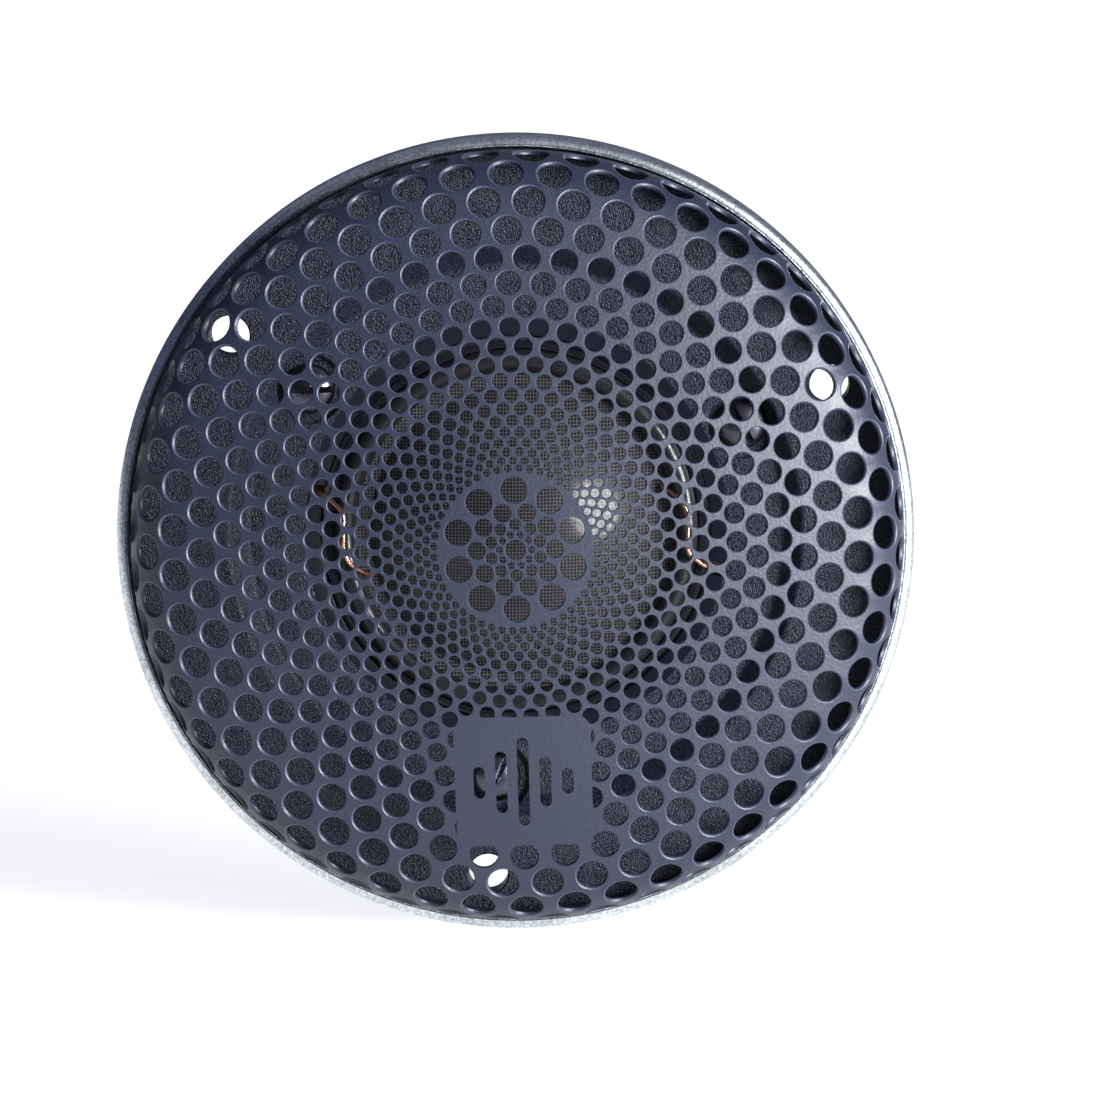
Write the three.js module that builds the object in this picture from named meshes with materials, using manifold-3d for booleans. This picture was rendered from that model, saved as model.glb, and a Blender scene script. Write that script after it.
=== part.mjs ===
// Dome tweeter for a car: pierced grille, face plate, moving dome and magnet system.
// Millimetres. The axis of the tweeter is Y: the dome faces -Y, +Z is up, and the
// origin is on the axis in the rear plane of the mounting flange.
import * as THREE from 'three';
import { mergeVertices } from 'three/addons/utils/BufferGeometryUtils.js';
import Module from 'manifold-3d';

const wasm = await Module();
wasm.setup();

// ---- driving dimensions -------------------------------------------------------------

const SIDES = 48;              // facets round every turned piece
const SMALL_SIDES = 12;        // facets round holes and screws
const GAP = 0.05;              // between pieces that touch
const REACH = 60;              // length of a cutter that goes right through
const CROWN_STEPS = 5;         // steps along the grille's and the dome's curves
const SHOULDER_STEPS = 6;
const CAP_STEPS = 6;
const ROLL_STEPS = 6;

const RIM = { outer: 38.0, inner: 37.0, lipInner: 35.5, front: -6.3, lip: -1.2, chamfer: 0.25 };

// The grille: a shallow sphere, a rounded shoulder and a short straight skirt. It has some
// play inside the rim ring and rests to one side of it.
const GRILLE = { apex: -19.5, wall: 0.4, sphere: 104, shoulder: 6.5, radius: 36.7, skirtEnd: -4.4,
  aside: 0.2 };

const PLATE = { radius: 36.6, outerFront: -4.0, innerFront: -2.2, stepOuter: 27.4, stepInner: 25.6,
  bore: 18.6, rear: -GAP, rebateRadius: 35.2, rebateRear: -1.5 };
const THIRDS = [25.4, 145.4, 265.4];   // angles of the three screw positions, 0 is +X and 90 is +Z
const MOUNT_HOLES = { circle: 33.1, radius: 1.9, angles: THIRDS };
const FACE_SCREWS = { circle: 23.9, angles: THIRDS, pocket: 3.25, floor: -1.5,
  hole: 1.6, shank: 1.3, head: 2.4, headRise: 1.9, length: 5.2, slot: 0.6 };

const CARRIER = { inner: 17.55, outer: 18.25, front: -2.6, rear: -0.4 };
const ROLL = { inner: 15.35, outer: 17.45, base: -2.3, rise: 1.15, skin: 0.3 };
const DOME = { radius: 13.7, base: -2.3, rise: 6.0, skin: 0.35, grooveIn: 14.0, grooveOut: 14.9,
  groove: -1.9, edge: 15.3 };
const FORMER = { inner: 13.8, outer: 14.05, front: -1.5, rear: 5.0 };
const WINDING = { inner: 14.1, outer: 14.45, front: 0.7, rear: 3.9 };

const TOP_PLATE = { inner: 14.95, outer: 27.5, front: 0.3, rear: 4.3 };
const MAGNET = { inner: 16.5, outer: 28.0, front: 4.35, rear: 12.35 };
const YOKE = { outer: 27.5, front: 12.4, rear: 16.4, pole: 13.0, poleFront: 0.5, vent: 4.0 };
const CAP = { inner: 13.05, outer: 13.3, front: 0.55, rear: 4.5 };
const FELT = { inner: 4.6, outer: 12.4, front: -0.7, rear: 0.45 };

const CUP = { radius: 19.0, wall: 1.5, front: 16.45, rear: 25.0, flange: 23.0, flangeRear: 18.3,
  roundOff: 1.6 };
const CUP_SCREWS = { circle: 21.0, angles: [30, 150, 270], hole: 1.2, shank: 0.9, head: 1.65,
  headRise: 1.1, length: 4.6, slot: 0.5 };
const FOAM = { radius: 16.8, front: 17.0, rear: 22.8 };

const CONTACT = { angles: [-11, 169], width: 3.8, skin: 0.5, front: -0.8, inner: 18.75, outer: 30.1,
  end: 10.0, eye: 0.7, eyeInset: 2.5 };
const CHANNEL = { width: 4.4, outer: 30.6, front: -1.1 };
const NOTCH = { width: 1.3, inner: 18.0, outer: 20.1 };
const LEAD = { radius: 0.22, sides: 8, steps: 26 };

// ---- finishes -----------------------------------------------------------------------

const finish = (color, roughness, metalness) =>
  new THREE.MeshStandardMaterial({ color, roughness, metalness });
const FINISH = {
  coat: finish(0x3a4150, 0.45, 0.3),
  rim: finish(0xb9bec6, 0.3, 1.0),
  plastic: finish(0x17181b, 0.6, 0.0),
  gloss: finish(0x0c0d0f, 0.15, 0.0),
  fabric: finish(0x2c2a28, 0.7, 0.0),
  copper: finish(0xb86a3c, 0.3, 1.0),
  brass: finish(0xc8a655, 0.35, 1.0),
  zinc: finish(0x9a9da1, 0.35, 1.0),
  magnet: finish(0x2b2b2d, 0.7, 0.1),
  felt: finish(0x4a4a48, 0.95, 0.0),
  steel: finish(0xa8abb0, 0.3, 1.0),
};

// ---- helpers ------------------------------------------------------------------------

// Turns a closed geometry into a solid, facing out whichever way it was wound.
function solidOf(geometry) {
  const bare = new THREE.BufferGeometry();
  bare.setAttribute('position', geometry.getAttribute('position').clone());
  if (geometry.index) bare.setIndex(geometry.index.clone());
  const merged = mergeVertices(bare, 1e-4);
  const position = merged.getAttribute('position');
  const index = merged.index.array;
  const corner = [0, 1, 2].map(() => new THREE.Vector3());
  const triangles = [];
  let volume = 0;
  for (let i = 0; i < index.length; i += 3) {
    const [a, b, c] = [index[i], index[i + 1], index[i + 2]];
    if (a === b || b === c || c === a) continue;
    triangles.push(a, b, c);
    [a, b, c].forEach((v, k) => corner[k].fromBufferAttribute(position, v));
    volume += corner[0].dot(corner[1].clone().cross(corner[2]));
  }
  if (volume < 0) triangles.reverse();
  return new wasm.Manifold(new wasm.Mesh({
    numProp: 3,
    vertProperties: new Float32Array(position.array),
    triVerts: new Uint32Array(triangles),
  }));
}

// A piece turned about the Y axis from its closed outline of [radius, y] points.
function turned(outline, sides = SIDES) {
  const points = outline.map(([radius, y]) => new THREE.Vector2(radius, y));
  if (outline[0][0] !== 0 || outline.at(-1)[0] !== 0) points.push(points[0].clone());
  return solidOf(new THREE.LatheGeometry(points, sides));
}

// A plain turned ring between two radii and two planes.
const ring = (inner, outer, front, rear) =>
  turned([[inner, front], [outer, front], [outer, rear], [inner, rear]]);

// Points along an arc, from one angle to another in degrees, in the [radius, y] plane.
function arc(centreR, centreY, radius, from, to, steps) {
  return Array.from({ length: steps + 1 }, (_, i) => {
    const angle = THREE.MathUtils.degToRad(from + (to - from) * i / steps);
    return [centreR + radius * Math.cos(angle), centreY + radius * Math.sin(angle)];
  });
}

// A round bar along Y at an angle round the axis; angle 0 is +X and 90 is +Z.
function bar(circle, angle, radius, front, rear, sides = SMALL_SIDES) {
  const turn = THREE.MathUtils.degToRad(angle);
  const geometry = new THREE.CylinderGeometry(radius, radius, rear - front, sides);
  geometry.translate(circle * Math.cos(turn), (front + rear) / 2, circle * Math.sin(turn));
  return solidOf(geometry);
}

// A block lying along a radius: from, to are radii, width is across it.
function radialBlock(angle, from, to, width, front, rear) {
  const geometry = new THREE.BoxGeometry(to - from, rear - front, width);
  geometry.translate((from + to) / 2, (front + rear) / 2, 0);
  geometry.rotateY(-THREE.MathUtils.degToRad(angle));
  return solidOf(geometry);
}

const cut = (solid, cutters) => cutters.reduce((rest, cutter) => rest.subtract(cutter), solid);

const part = new THREE.Group();

// Names a solid, gives it its finish and puts it in the group.
function add(name, solid, material) {
  const { vertProperties, triVerts } = solid.getMesh();
  const geometry = new THREE.BufferGeometry();
  geometry.setAttribute('position', new THREE.BufferAttribute(vertProperties, 3));
  geometry.setIndex(new THREE.BufferAttribute(triVerts, 1));
  geometry.computeVertexNormals();
  const mesh = new THREE.Mesh(geometry, material);
  mesh.name = name;
  part.add(mesh);
}

// ---- grille -------------------------------------------------------------------------

// The outline of one skin of the grille, from the axis to the end of the skirt.
function grilleSkin(inset) {
  const sphere = GRILLE.sphere - inset;
  const shoulder = GRILLE.shoulder - inset;
  const centreR = GRILLE.radius - GRILLE.shoulder;
  const meet = Math.asin(centreR / (GRILLE.sphere - GRILLE.shoulder));
  const centreY = GRILLE.apex + GRILLE.sphere - Math.cos(meet) * (GRILLE.sphere - GRILLE.shoulder);
  const meetDeg = THREE.MathUtils.radToDeg(meet);
  const crown = arc(0, GRILLE.apex + GRILLE.sphere, sphere, -90, -90 + meetDeg, CROWN_STEPS);
  const bend = arc(centreR, centreY, shoulder, -90 + meetDeg, 0, SHOULDER_STEPS);
  crown[0][0] = 0;
  return [...crown, ...bend.slice(1), [centreR + shoulder, GRILLE.skirtEnd]];
}

add('grille', turned([...grilleSkin(0), ...grilleSkin(GRILLE.wall).reverse()])
  .translate([GRILLE.aside, 0, 0]), FINISH.coat);

// ---- flange -------------------------------------------------------------------------

add('rim_ring', turned([
  [RIM.inner, RIM.front + RIM.chamfer], [RIM.inner + RIM.chamfer, RIM.front],
  [RIM.outer - RIM.chamfer, RIM.front], [RIM.outer, RIM.front + RIM.chamfer],
  [RIM.outer, 0], [RIM.lipInner, 0], [RIM.lipInner, RIM.lip], [RIM.inner, RIM.lip],
]), FINISH.rim);

const plateBlank = turned([
  [PLATE.bore, PLATE.innerFront], [PLATE.stepInner, PLATE.innerFront],
  [PLATE.stepOuter, PLATE.outerFront], [PLATE.radius, PLATE.outerFront],
  [PLATE.radius, PLATE.rebateRear], [PLATE.rebateRadius, PLATE.rebateRear],
  [PLATE.rebateRadius, PLATE.rear], [PLATE.bore, PLATE.rear],
]);
add('face_plate', cut(plateBlank, [
  ...MOUNT_HOLES.angles.map((a) => bar(MOUNT_HOLES.circle, a, MOUNT_HOLES.radius, -REACH, REACH)),
  ...FACE_SCREWS.angles.flatMap((a) => [
    bar(FACE_SCREWS.circle, a, FACE_SCREWS.pocket, -REACH, FACE_SCREWS.floor),
    bar(FACE_SCREWS.circle, a, FACE_SCREWS.hole, -REACH, REACH),
  ]),
  ...CONTACT.angles.flatMap((a) => [
    radialBlock(a, 0, CHANNEL.outer, CHANNEL.width, CHANNEL.front, REACH),
    radialBlock(a, NOTCH.inner, NOTCH.outer, NOTCH.width, -REACH, REACH),
  ]),
]), FINISH.plastic);

// ---- fasteners ----------------------------------------------------------------------

// Shares of a screw head's radius and height, from its crown to its rim.
const HEAD_CURVE = [[0, 1], [0.5, 0.93], [0.85, 0.68], [1, 0.3], [1, 0]];
const SLOT_DEPTH = 0.4;        // share of the head's height
const SLOT_TURN = 35;          // degrees that a screw's slot lies from its own radius

// A slotted screw with a rounded head; seat is where the head's flat side rests, and
// facing is -1 for a head towards the front and 1 for one towards the rear.
function screw(spec, angle, seat, facing) {
  const { circle, head, headRise, shank, length, slot } = spec;
  const body = turned([
    ...HEAD_CURVE.map(([radius, height]) => [radius * head, facing * height * headRise]),
    [shank, 0], [shank, -facing * length], [0, -facing * length],
  ], SMALL_SIDES);
  const groove = new THREE.BoxGeometry(head * 3, headRise * SLOT_DEPTH * 2, slot);
  groove.translate(0, facing * headRise, 0);
  groove.rotateY(THREE.MathUtils.degToRad(SLOT_TURN + angle));
  const turn = THREE.MathUtils.degToRad(angle);
  return body.subtract(solidOf(groove))
    .translate([circle * Math.cos(turn), seat, circle * Math.sin(turn)]);
}

FACE_SCREWS.angles.forEach((angle, i) =>
  add(`face_screw_${i + 1}`, screw(FACE_SCREWS, angle, FACE_SCREWS.floor - GAP, -1), FINISH.steel));

// ---- moving diaphragm ---------------------------------------------------------------

// Rounded dome cap over its base circle; grows by inset behind the front skin.
function capOutline(inset) {
  const radius = (DOME.radius ** 2 + DOME.rise ** 2) / (2 * DOME.rise);
  const centreY = DOME.base - DOME.rise + radius;
  const half = THREE.MathUtils.radToDeg(Math.asin(DOME.radius / radius));
  const points = arc(0, centreY, radius - inset, -90, -90 + half, CAP_STEPS);
  points[0][0] = 0;
  return points;
}

add('dome', turned([
  ...capOutline(0),
  [DOME.grooveIn, DOME.groove], [DOME.grooveOut, DOME.groove], [DOME.edge, DOME.base],
  [DOME.edge, DOME.base + DOME.skin], [DOME.grooveOut, DOME.groove + DOME.skin],
  [DOME.grooveIn - DOME.skin, DOME.groove + DOME.skin],
  ...capOutline(DOME.skin).reverse(),
]), FINISH.fabric);

add('coil_former', ring(FORMER.inner, FORMER.outer, FORMER.front, FORMER.rear), FINISH.gloss);
add('coil_winding', ring(WINDING.inner, WINDING.outer, WINDING.front, WINDING.rear), FINISH.copper);

// The surround is a half-roll of thin fabric between the dome's edge and the carrier ring.
const rollHalf = (ROLL.outer - ROLL.inner) / 2;
const rollMiddle = (ROLL.outer + ROLL.inner) / 2;
const rollSkin = (inset) => Array.from({ length: ROLL_STEPS + 1 }, (_, i) => {
  const angle = Math.PI * i / ROLL_STEPS;
  return [rollMiddle - (rollHalf - inset) * Math.cos(angle),
    ROLL.base - (ROLL.rise - inset) * Math.sin(angle)];
});
add('surround', turned([...rollSkin(0), ...rollSkin(ROLL.skin).reverse()]), FINISH.fabric);

add('diaphragm_ring', ring(CARRIER.inner, CARRIER.outer, CARRIER.front, CARRIER.rear), FINISH.gloss);

// ---- lead-outs and contacts ---------------------------------------------------------

// Route of a lead-out for a contact at angle 0: [angle round the axis, radius, y].
const LEAD_ROUTE = [
  [28, 14.65, -2.4], [25.5, 15.3, -3.2], [22, 16.1, -4.05], [17, 16.5, -4.3], [11, 16.45, -4.35],
  [5, 16.6, -4.25], [2, 17.6, -3.8], [0.5, 18.6, -3.25], [0, 19.35, -2.3], [0, 19.4, -1.05],
];
function leadOut(contactAngle) {
  const points = LEAD_ROUTE.map(([offset, radius, y]) => {
    const turn = THREE.MathUtils.degToRad(contactAngle + offset);
    return new THREE.Vector3(radius * Math.cos(turn), y, radius * Math.sin(turn));
  });
  const section = new THREE.Shape();
  section.absarc(0, 0, LEAD.radius, 0, 2 * Math.PI);
  return solidOf(new THREE.ExtrudeGeometry(section, {
    steps: LEAD.steps, curveSegments: LEAD.sides / 2, extrudePath: new THREE.CatmullRomCurve3(points),
  }));
}

['right', 'left'].forEach((side, i) => {
  const angle = CONTACT.angles[i];
  add(`lead_${side}`, leadOut(angle), FINISH.copper);
  const strip = radialBlock(angle, CONTACT.inner, CONTACT.outer, CONTACT.width,
    CONTACT.front, CONTACT.front + CONTACT.skin);
  const blade = radialBlock(angle, CONTACT.outer - CONTACT.skin, CONTACT.outer, CONTACT.width,
    CONTACT.front, CONTACT.end);
  const eye = new THREE.CylinderGeometry(CONTACT.eye, CONTACT.eye, REACH, SMALL_SIDES);
  eye.rotateZ(Math.PI / 2);
  eye.translate(REACH / 2, CONTACT.end - CONTACT.eyeInset, 0);
  eye.rotateY(-THREE.MathUtils.degToRad(angle));
  add(`contact_${side}`, cut(strip.add(blade), [solidOf(eye)]), FINISH.brass);
});

// ---- magnet system ------------------------------------------------------------------

add('top_plate', cut(
  ring(TOP_PLATE.inner, TOP_PLATE.outer, TOP_PLATE.front, TOP_PLATE.rear),
  FACE_SCREWS.angles.map((a) => bar(FACE_SCREWS.circle, a, FACE_SCREWS.hole, -REACH, REACH)),
), FINISH.zinc);

add('magnet', ring(MAGNET.inner, MAGNET.outer, MAGNET.front, MAGNET.rear), FINISH.magnet);

add('pole_yoke', cut(turned([
  [YOKE.vent, YOKE.poleFront], [YOKE.pole, YOKE.poleFront], [YOKE.pole, YOKE.front],
  [YOKE.outer, YOKE.front], [YOKE.outer, YOKE.rear], [YOKE.vent, YOKE.rear],
]), CUP_SCREWS.angles.map((a) => bar(CUP_SCREWS.circle, a, CUP_SCREWS.hole, YOKE.front - 1, REACH))),
FINISH.zinc);

add('shorting_cap', ring(CAP.inner, CAP.outer, CAP.front, CAP.rear), FINISH.copper);
add('pole_felt', ring(FELT.inner, FELT.outer, FELT.front, FELT.rear), FINISH.felt);

// ---- rear chamber -------------------------------------------------------------------

add('rear_cup', cut(turned([
  [0, CUP.rear - CUP.wall], [CUP.radius - CUP.wall, CUP.rear - CUP.wall],
  [CUP.radius - CUP.wall, CUP.front], [CUP.flange, CUP.front], [CUP.flange, CUP.flangeRear],
  [CUP.radius, CUP.flangeRear],
  ...arc(CUP.radius - CUP.roundOff, CUP.rear - CUP.roundOff, CUP.roundOff, 0, 90, 4),
  [0, CUP.rear],
]), CUP_SCREWS.angles.map((a) => bar(CUP_SCREWS.circle, a, CUP_SCREWS.hole, 0, CUP.rear))),
FINISH.plastic);

CUP_SCREWS.angles.forEach((angle, i) =>
  add(`cup_screw_${i + 1}`, screw(CUP_SCREWS, angle, CUP.flangeRear + GAP, 1), FINISH.steel));

add('rear_foam', turned([[0, FOAM.front], [FOAM.radius, FOAM.front], [FOAM.radius, FOAM.rear],
  [0, FOAM.rear]]), FINISH.felt);

export default part;
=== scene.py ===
"""Fine shape and finish of a car tweeter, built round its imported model.

The axis of the tweeter is Y: the grille and the dome face -Y, the magnet is behind them, and
+Z is up. Everything is in metres, and MM turns millimetres into metres.
"""

import logging
import math
from dataclasses import dataclass, field
from enum import Enum
from typing import Iterable, Sequence, Union

import bmesh
import bpy
import numpy as np
from mathutils import Matrix, Vector, geometry


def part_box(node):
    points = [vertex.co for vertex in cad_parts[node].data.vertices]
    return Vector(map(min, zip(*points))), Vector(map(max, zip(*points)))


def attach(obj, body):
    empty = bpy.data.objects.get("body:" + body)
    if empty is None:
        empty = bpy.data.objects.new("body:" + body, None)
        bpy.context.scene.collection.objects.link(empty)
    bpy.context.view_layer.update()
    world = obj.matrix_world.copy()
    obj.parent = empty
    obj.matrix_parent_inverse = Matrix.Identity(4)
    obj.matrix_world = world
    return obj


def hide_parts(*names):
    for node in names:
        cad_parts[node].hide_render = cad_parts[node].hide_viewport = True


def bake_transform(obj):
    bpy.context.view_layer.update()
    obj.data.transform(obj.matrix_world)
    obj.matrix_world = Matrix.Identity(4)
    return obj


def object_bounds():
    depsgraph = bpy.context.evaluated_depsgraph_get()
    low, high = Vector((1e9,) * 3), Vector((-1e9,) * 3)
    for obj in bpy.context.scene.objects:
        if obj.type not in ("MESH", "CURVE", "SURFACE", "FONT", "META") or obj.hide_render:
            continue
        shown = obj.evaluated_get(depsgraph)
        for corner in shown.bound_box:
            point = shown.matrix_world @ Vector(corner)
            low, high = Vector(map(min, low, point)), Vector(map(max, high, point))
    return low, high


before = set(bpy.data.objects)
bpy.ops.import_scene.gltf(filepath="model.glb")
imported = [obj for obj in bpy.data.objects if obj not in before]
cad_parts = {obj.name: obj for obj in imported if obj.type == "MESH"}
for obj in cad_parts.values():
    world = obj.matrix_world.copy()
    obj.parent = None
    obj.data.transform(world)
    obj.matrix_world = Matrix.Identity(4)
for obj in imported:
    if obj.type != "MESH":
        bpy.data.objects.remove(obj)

MM = 0.001
CAD_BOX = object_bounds()
THIRDS = (25.4, 145.4, 265.4)
"""Angles of the three screw positions round the axis, where 0 is +X and 90 is +Z."""
CONTACTS = {"right": -11.0, "left": 169.0}
"""Angles of the two contacts."""

CUP_THIRDS = (30.0, 150.0, 270.0)
"""Angles of the three screws that hold the rear cup."""
FACE_SCREW_CIRCLE = 23.9 * MM
FACE_SCREW_HOLE = 1.6 * MM
CUP_SCREW_CIRCLE = 21.0 * MM
CUP_SCREW_HOLE = 1.2 * MM
PLATE_CUT = 9 * MM
"""How far cutters reach to either side through the face plate."""
DEEP_CUT = 40 * MM
"""How far cutters reach past every piece."""

PAINTED_RIM_HIGHLIGHT = "edge"
# Name of the number stored on a mesh that is 1 on the hole bevels, where the coat gets a painted highlight
# of the bright hole rims.
"""Name of the number stored on a mesh that is 1 where the coat is thin."""

Outline = list[tuple[float, float]]
Colour = tuple[float, float, float]
Value = Union["Term", float]

log = logging.getLogger("tweeter")


class Body(Enum):
    """The bodies that pieces ride on."""

    FRAME = "frame"
    DIAPHRAGM = "diaphragm"
    GRILLE = "grille"


class Slot(Enum):
    """Names of material slots."""

    GRILLE = "grille_coat"
    RIM = "rim_metal"
    PLASTIC = "black_plastic"
    GLOSS = "gloss_plastic"
    SURROUND = "surround_fabric"
    DOME = "dome_fabric"
    FILM = "former_film"
    COPPER = "copper"
    BRASS = "brass"
    SCREW = "screw_steel"
    ZINC = "zinc_steel"
    MAGNET = "magnet"
    FELT = "felt"


# ---- arithmetic in node trees -------------------------------------------------------


class Term:
    """A number that a node tree works out, used with ordinary arithmetic."""

    def __init__(self, tree: bpy.types.NodeTree, socket: bpy.types.NodeSocket) -> None:
        """Wraps a socket of the tree."""
        self.tree = tree
        self.socket = socket

    def math(self, operation: str, *values: Value) -> "Term":
        """Adds one math node.

        Args:
            operation: The node's operation, such as "ADD".
            values: What it works on, terms or plain numbers.

        Returns:
            The node's result.
        """
        node = self.tree.nodes.new("ShaderNodeMath")
        node.operation = operation
        for entry, value in zip(node.inputs, values):
            if isinstance(value, Term):
                self.tree.links.new(value.socket, entry)
            else:
                entry.default_value = value
        return Term(self.tree, node.outputs[0])

    def __add__(self, other: Value) -> "Term":
        """Sum."""
        return self.math("ADD", self, other)

    __radd__ = __add__

    def __sub__(self, other: Value) -> "Term":
        """Difference."""
        return self.math("SUBTRACT", self, other)

    def __rsub__(self, other: Value) -> "Term":
        """Difference from a plain number."""
        return self.math("SUBTRACT", other, self)

    def __mul__(self, other: Value) -> "Term":
        """Product."""
        return self.math("MULTIPLY", self, other)

    __rmul__ = __mul__

    def __truediv__(self, other: Value) -> "Term":
        """Quotient."""
        return self.math("DIVIDE", self, other)

    def sine(self) -> "Term":
        """Sine."""
        return self.math("SINE", self)

    def cosine(self) -> "Term":
        """Cosine."""
        return self.math("COSINE", self)

    def size(self) -> "Term":
        """Absolute value."""
        return self.math("ABSOLUTE", self)

    def root(self) -> "Term":
        """Square root."""
        return self.math("SQRT", self)

    def floor(self) -> "Term":
        """Whole part."""
        return self.math("FLOOR", self)

    def power(self, exponent: Value) -> "Term":
        """This number to a power."""
        return self.math("POWER", self, exponent)

    def raised(self, base: Value) -> "Term":
        """A base to the power of this number."""
        return self.math("POWER", base, self)

    def least(self, other: Value) -> "Term":
        """The smaller of the two."""
        return self.math("MINIMUM", self, other)

    def most(self, other: Value) -> "Term":
        """The larger of the two."""
        return self.math("MAXIMUM", self, other)

    def above(self, other: Value) -> "Term":
        """1 where this number is larger, 0 elsewhere."""
        return self.math("GREATER_THAN", self, other)

    def ramp(self, low: float, high: float) -> "Term":
        """A soft step from 0 at low to 1 at high.

        Args:
            low: Where the step starts.
            high: Where it ends.

        Returns:
            The step's value.
        """
        node = self.tree.nodes.new("ShaderNodeMapRange")
        node.interpolation_type = "SMOOTHSTEP"
        self.tree.links.new(self.socket, node.inputs["Value"])
        node.inputs["From Min"].default_value = low
        node.inputs["From Max"].default_value = high
        return Term(self.tree, node.outputs["Result"])


def split(tree: bpy.types.NodeTree, vector: bpy.types.NodeSocket) -> tuple[Term, Term, Term]:
    """The three parts of a vector socket.

    Args:
        tree: The node tree.
        vector: The vector to take apart.

    Returns:
        Its x, y and z.
    """
    node = tree.nodes.new("ShaderNodeSeparateXYZ")
    tree.links.new(vector, node.inputs[0])
    return tuple(Term(tree, out) for out in node.outputs)


def join(tree: bpy.types.NodeTree, *parts: Value) -> bpy.types.NodeSocket:
    """A vector socket made of three parts.

    Args:
        tree: The node tree.
        parts: Its x, y and z, terms or plain numbers.

    Returns:
        The vector.
    """
    node = tree.nodes.new("ShaderNodeCombineXYZ")
    for entry, value in zip(node.inputs, parts):
        if isinstance(value, Term):
            tree.links.new(value.socket, entry)
        else:
            entry.default_value = value
    return node.outputs[0]


# ---- finishes -----------------------------------------------------------------------


class Recipe:
    """A node material while it is put together."""

    def __init__(self, name: str, colour: Colour, roughness: float, metallic: float = 0.0) -> None:
        """Starts a material with its uniform values.

        Args:
            name: Name of the material.
            colour: Its plain colour.
            roughness: Its plain roughness.
            metallic: 1 for bare metal, 0 for the rest.
        """
        self.material = bpy.data.materials.new(name)
        self.material.use_nodes = True
        self.tree = self.material.node_tree
        self.shader = self.tree.nodes["Principled BSDF"]
        self.set("Base Color", (*colour, 1.0))
        self.set("Roughness", roughness)
        self.set("Metallic", metallic)
        self.material.diffuse_color = (*colour, 1.0)
        coordinates = self.tree.nodes.new("ShaderNodeTexCoord")
        self.place = coordinates.outputs["Object"]
        self.x, self.y, self.z = split(self.tree, self.place)
        self.bumps: list[tuple[Term, float, float]] = []

    def set(self, name: str, value: object) -> None:
        """Sets one of the shader's own sockets."""
        self.shader.inputs[name].default_value = value

    def radius(self) -> Term:
        """Distance from the axis."""
        return (self.x * self.x + self.z * self.z).root()

    def noise(self, size: float, detail: float = 2.0, place: bpy.types.NodeSocket = None,
              distortion: float = 0.0) -> Term:
        """Soft noise.

        Args:
            size: Length of one lump.
            detail: Octaves of finer noise.
            place: Coordinates, or None for the piece's own.
            distortion: How far the noise folds on itself.

        Returns:
            Noise from 0 to 1.
        """
        node = self.tree.nodes.new("ShaderNodeTexNoise")
        self.tree.links.new(place or self.place, node.inputs["Vector"])
        node.inputs["Scale"].default_value = 1.0 / size
        node.inputs["Detail"].default_value = detail
        node.inputs["Distortion"].default_value = distortion
        return Term(self.tree, node.outputs["Fac"])

    def cells(self, size: float, place: bpy.types.NodeSocket = None, soft: float = 0.5) -> Term:
        """Distance to the nearest of scattered points, for grain and specks.

        Args:
            size: Distance between points.
            place: Coordinates, or None for the piece's own.
            soft: How far neighbouring cells flow together.

        Returns:
            The distance.
        """
        node = self.tree.nodes.new("ShaderNodeTexVoronoi")
        node.feature = "SMOOTH_F1"
        self.tree.links.new(place or self.place, node.inputs["Vector"])
        node.inputs["Scale"].default_value = 1.0 / size
        node.inputs["Smoothness"].default_value = soft
        return Term(self.tree, node.outputs["Distance"])

    def attribute(self, name: str) -> Term:
        """A number stored on the piece's mesh.

        Args:
            name: Name of the attribute.

        Returns:
            The number.
        """
        node = self.tree.nodes.new("ShaderNodeAttribute")
        node.attribute_name = name
        return Term(self.tree, node.outputs["Fac"])

    def tint(self, factor: Term, low: Colour, high: Colour) -> None:
        """Base colour that goes from low to high with the factor.

        Args:
            factor: Where between the two colours.
            low: Colour where it is 0.
            high: Colour where it is 1.
        """
        node = self.tree.nodes.new("ShaderNodeMix")
        node.data_type = "RGBA"
        self.tree.links.new(factor.socket, node.inputs["Factor"])
        node.inputs["A"].default_value = (*low, 1.0)
        node.inputs["B"].default_value = (*high, 1.0)
        self.tree.links.new(node.outputs["Result"], self.shader.inputs["Base Color"])

    def rough(self, factor: Term, low: float, high: float) -> None:
        """Roughness that goes from low to high with the factor."""
        self.tree.links.new((factor * (high - low) + low).socket, self.shader.inputs["Roughness"])

    def bump(self, height: Term, depth: float, strength: float = 1.0) -> None:
        """Adds relief of that depth where height is 1."""
        self.bumps.append((height, depth, strength))

    def done(self) -> bpy.types.Material:
        """Links the relief and returns the material.

        Returns:
            The finished material.
        """
        normal = None
        for height, depth, strength in self.bumps:
            node = self.tree.nodes.new("ShaderNodeBump")
            node.inputs["Distance"].default_value = depth
            node.inputs["Strength"].default_value = strength
            self.tree.links.new(height.socket, node.inputs["Height"])
            if normal is not None:
                self.tree.links.new(normal, node.inputs["Normal"])
            normal = node.outputs["Normal"]
        if normal is not None:
            self.tree.links.new(normal, self.shader.inputs["Normal"])
        return self.material


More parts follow.
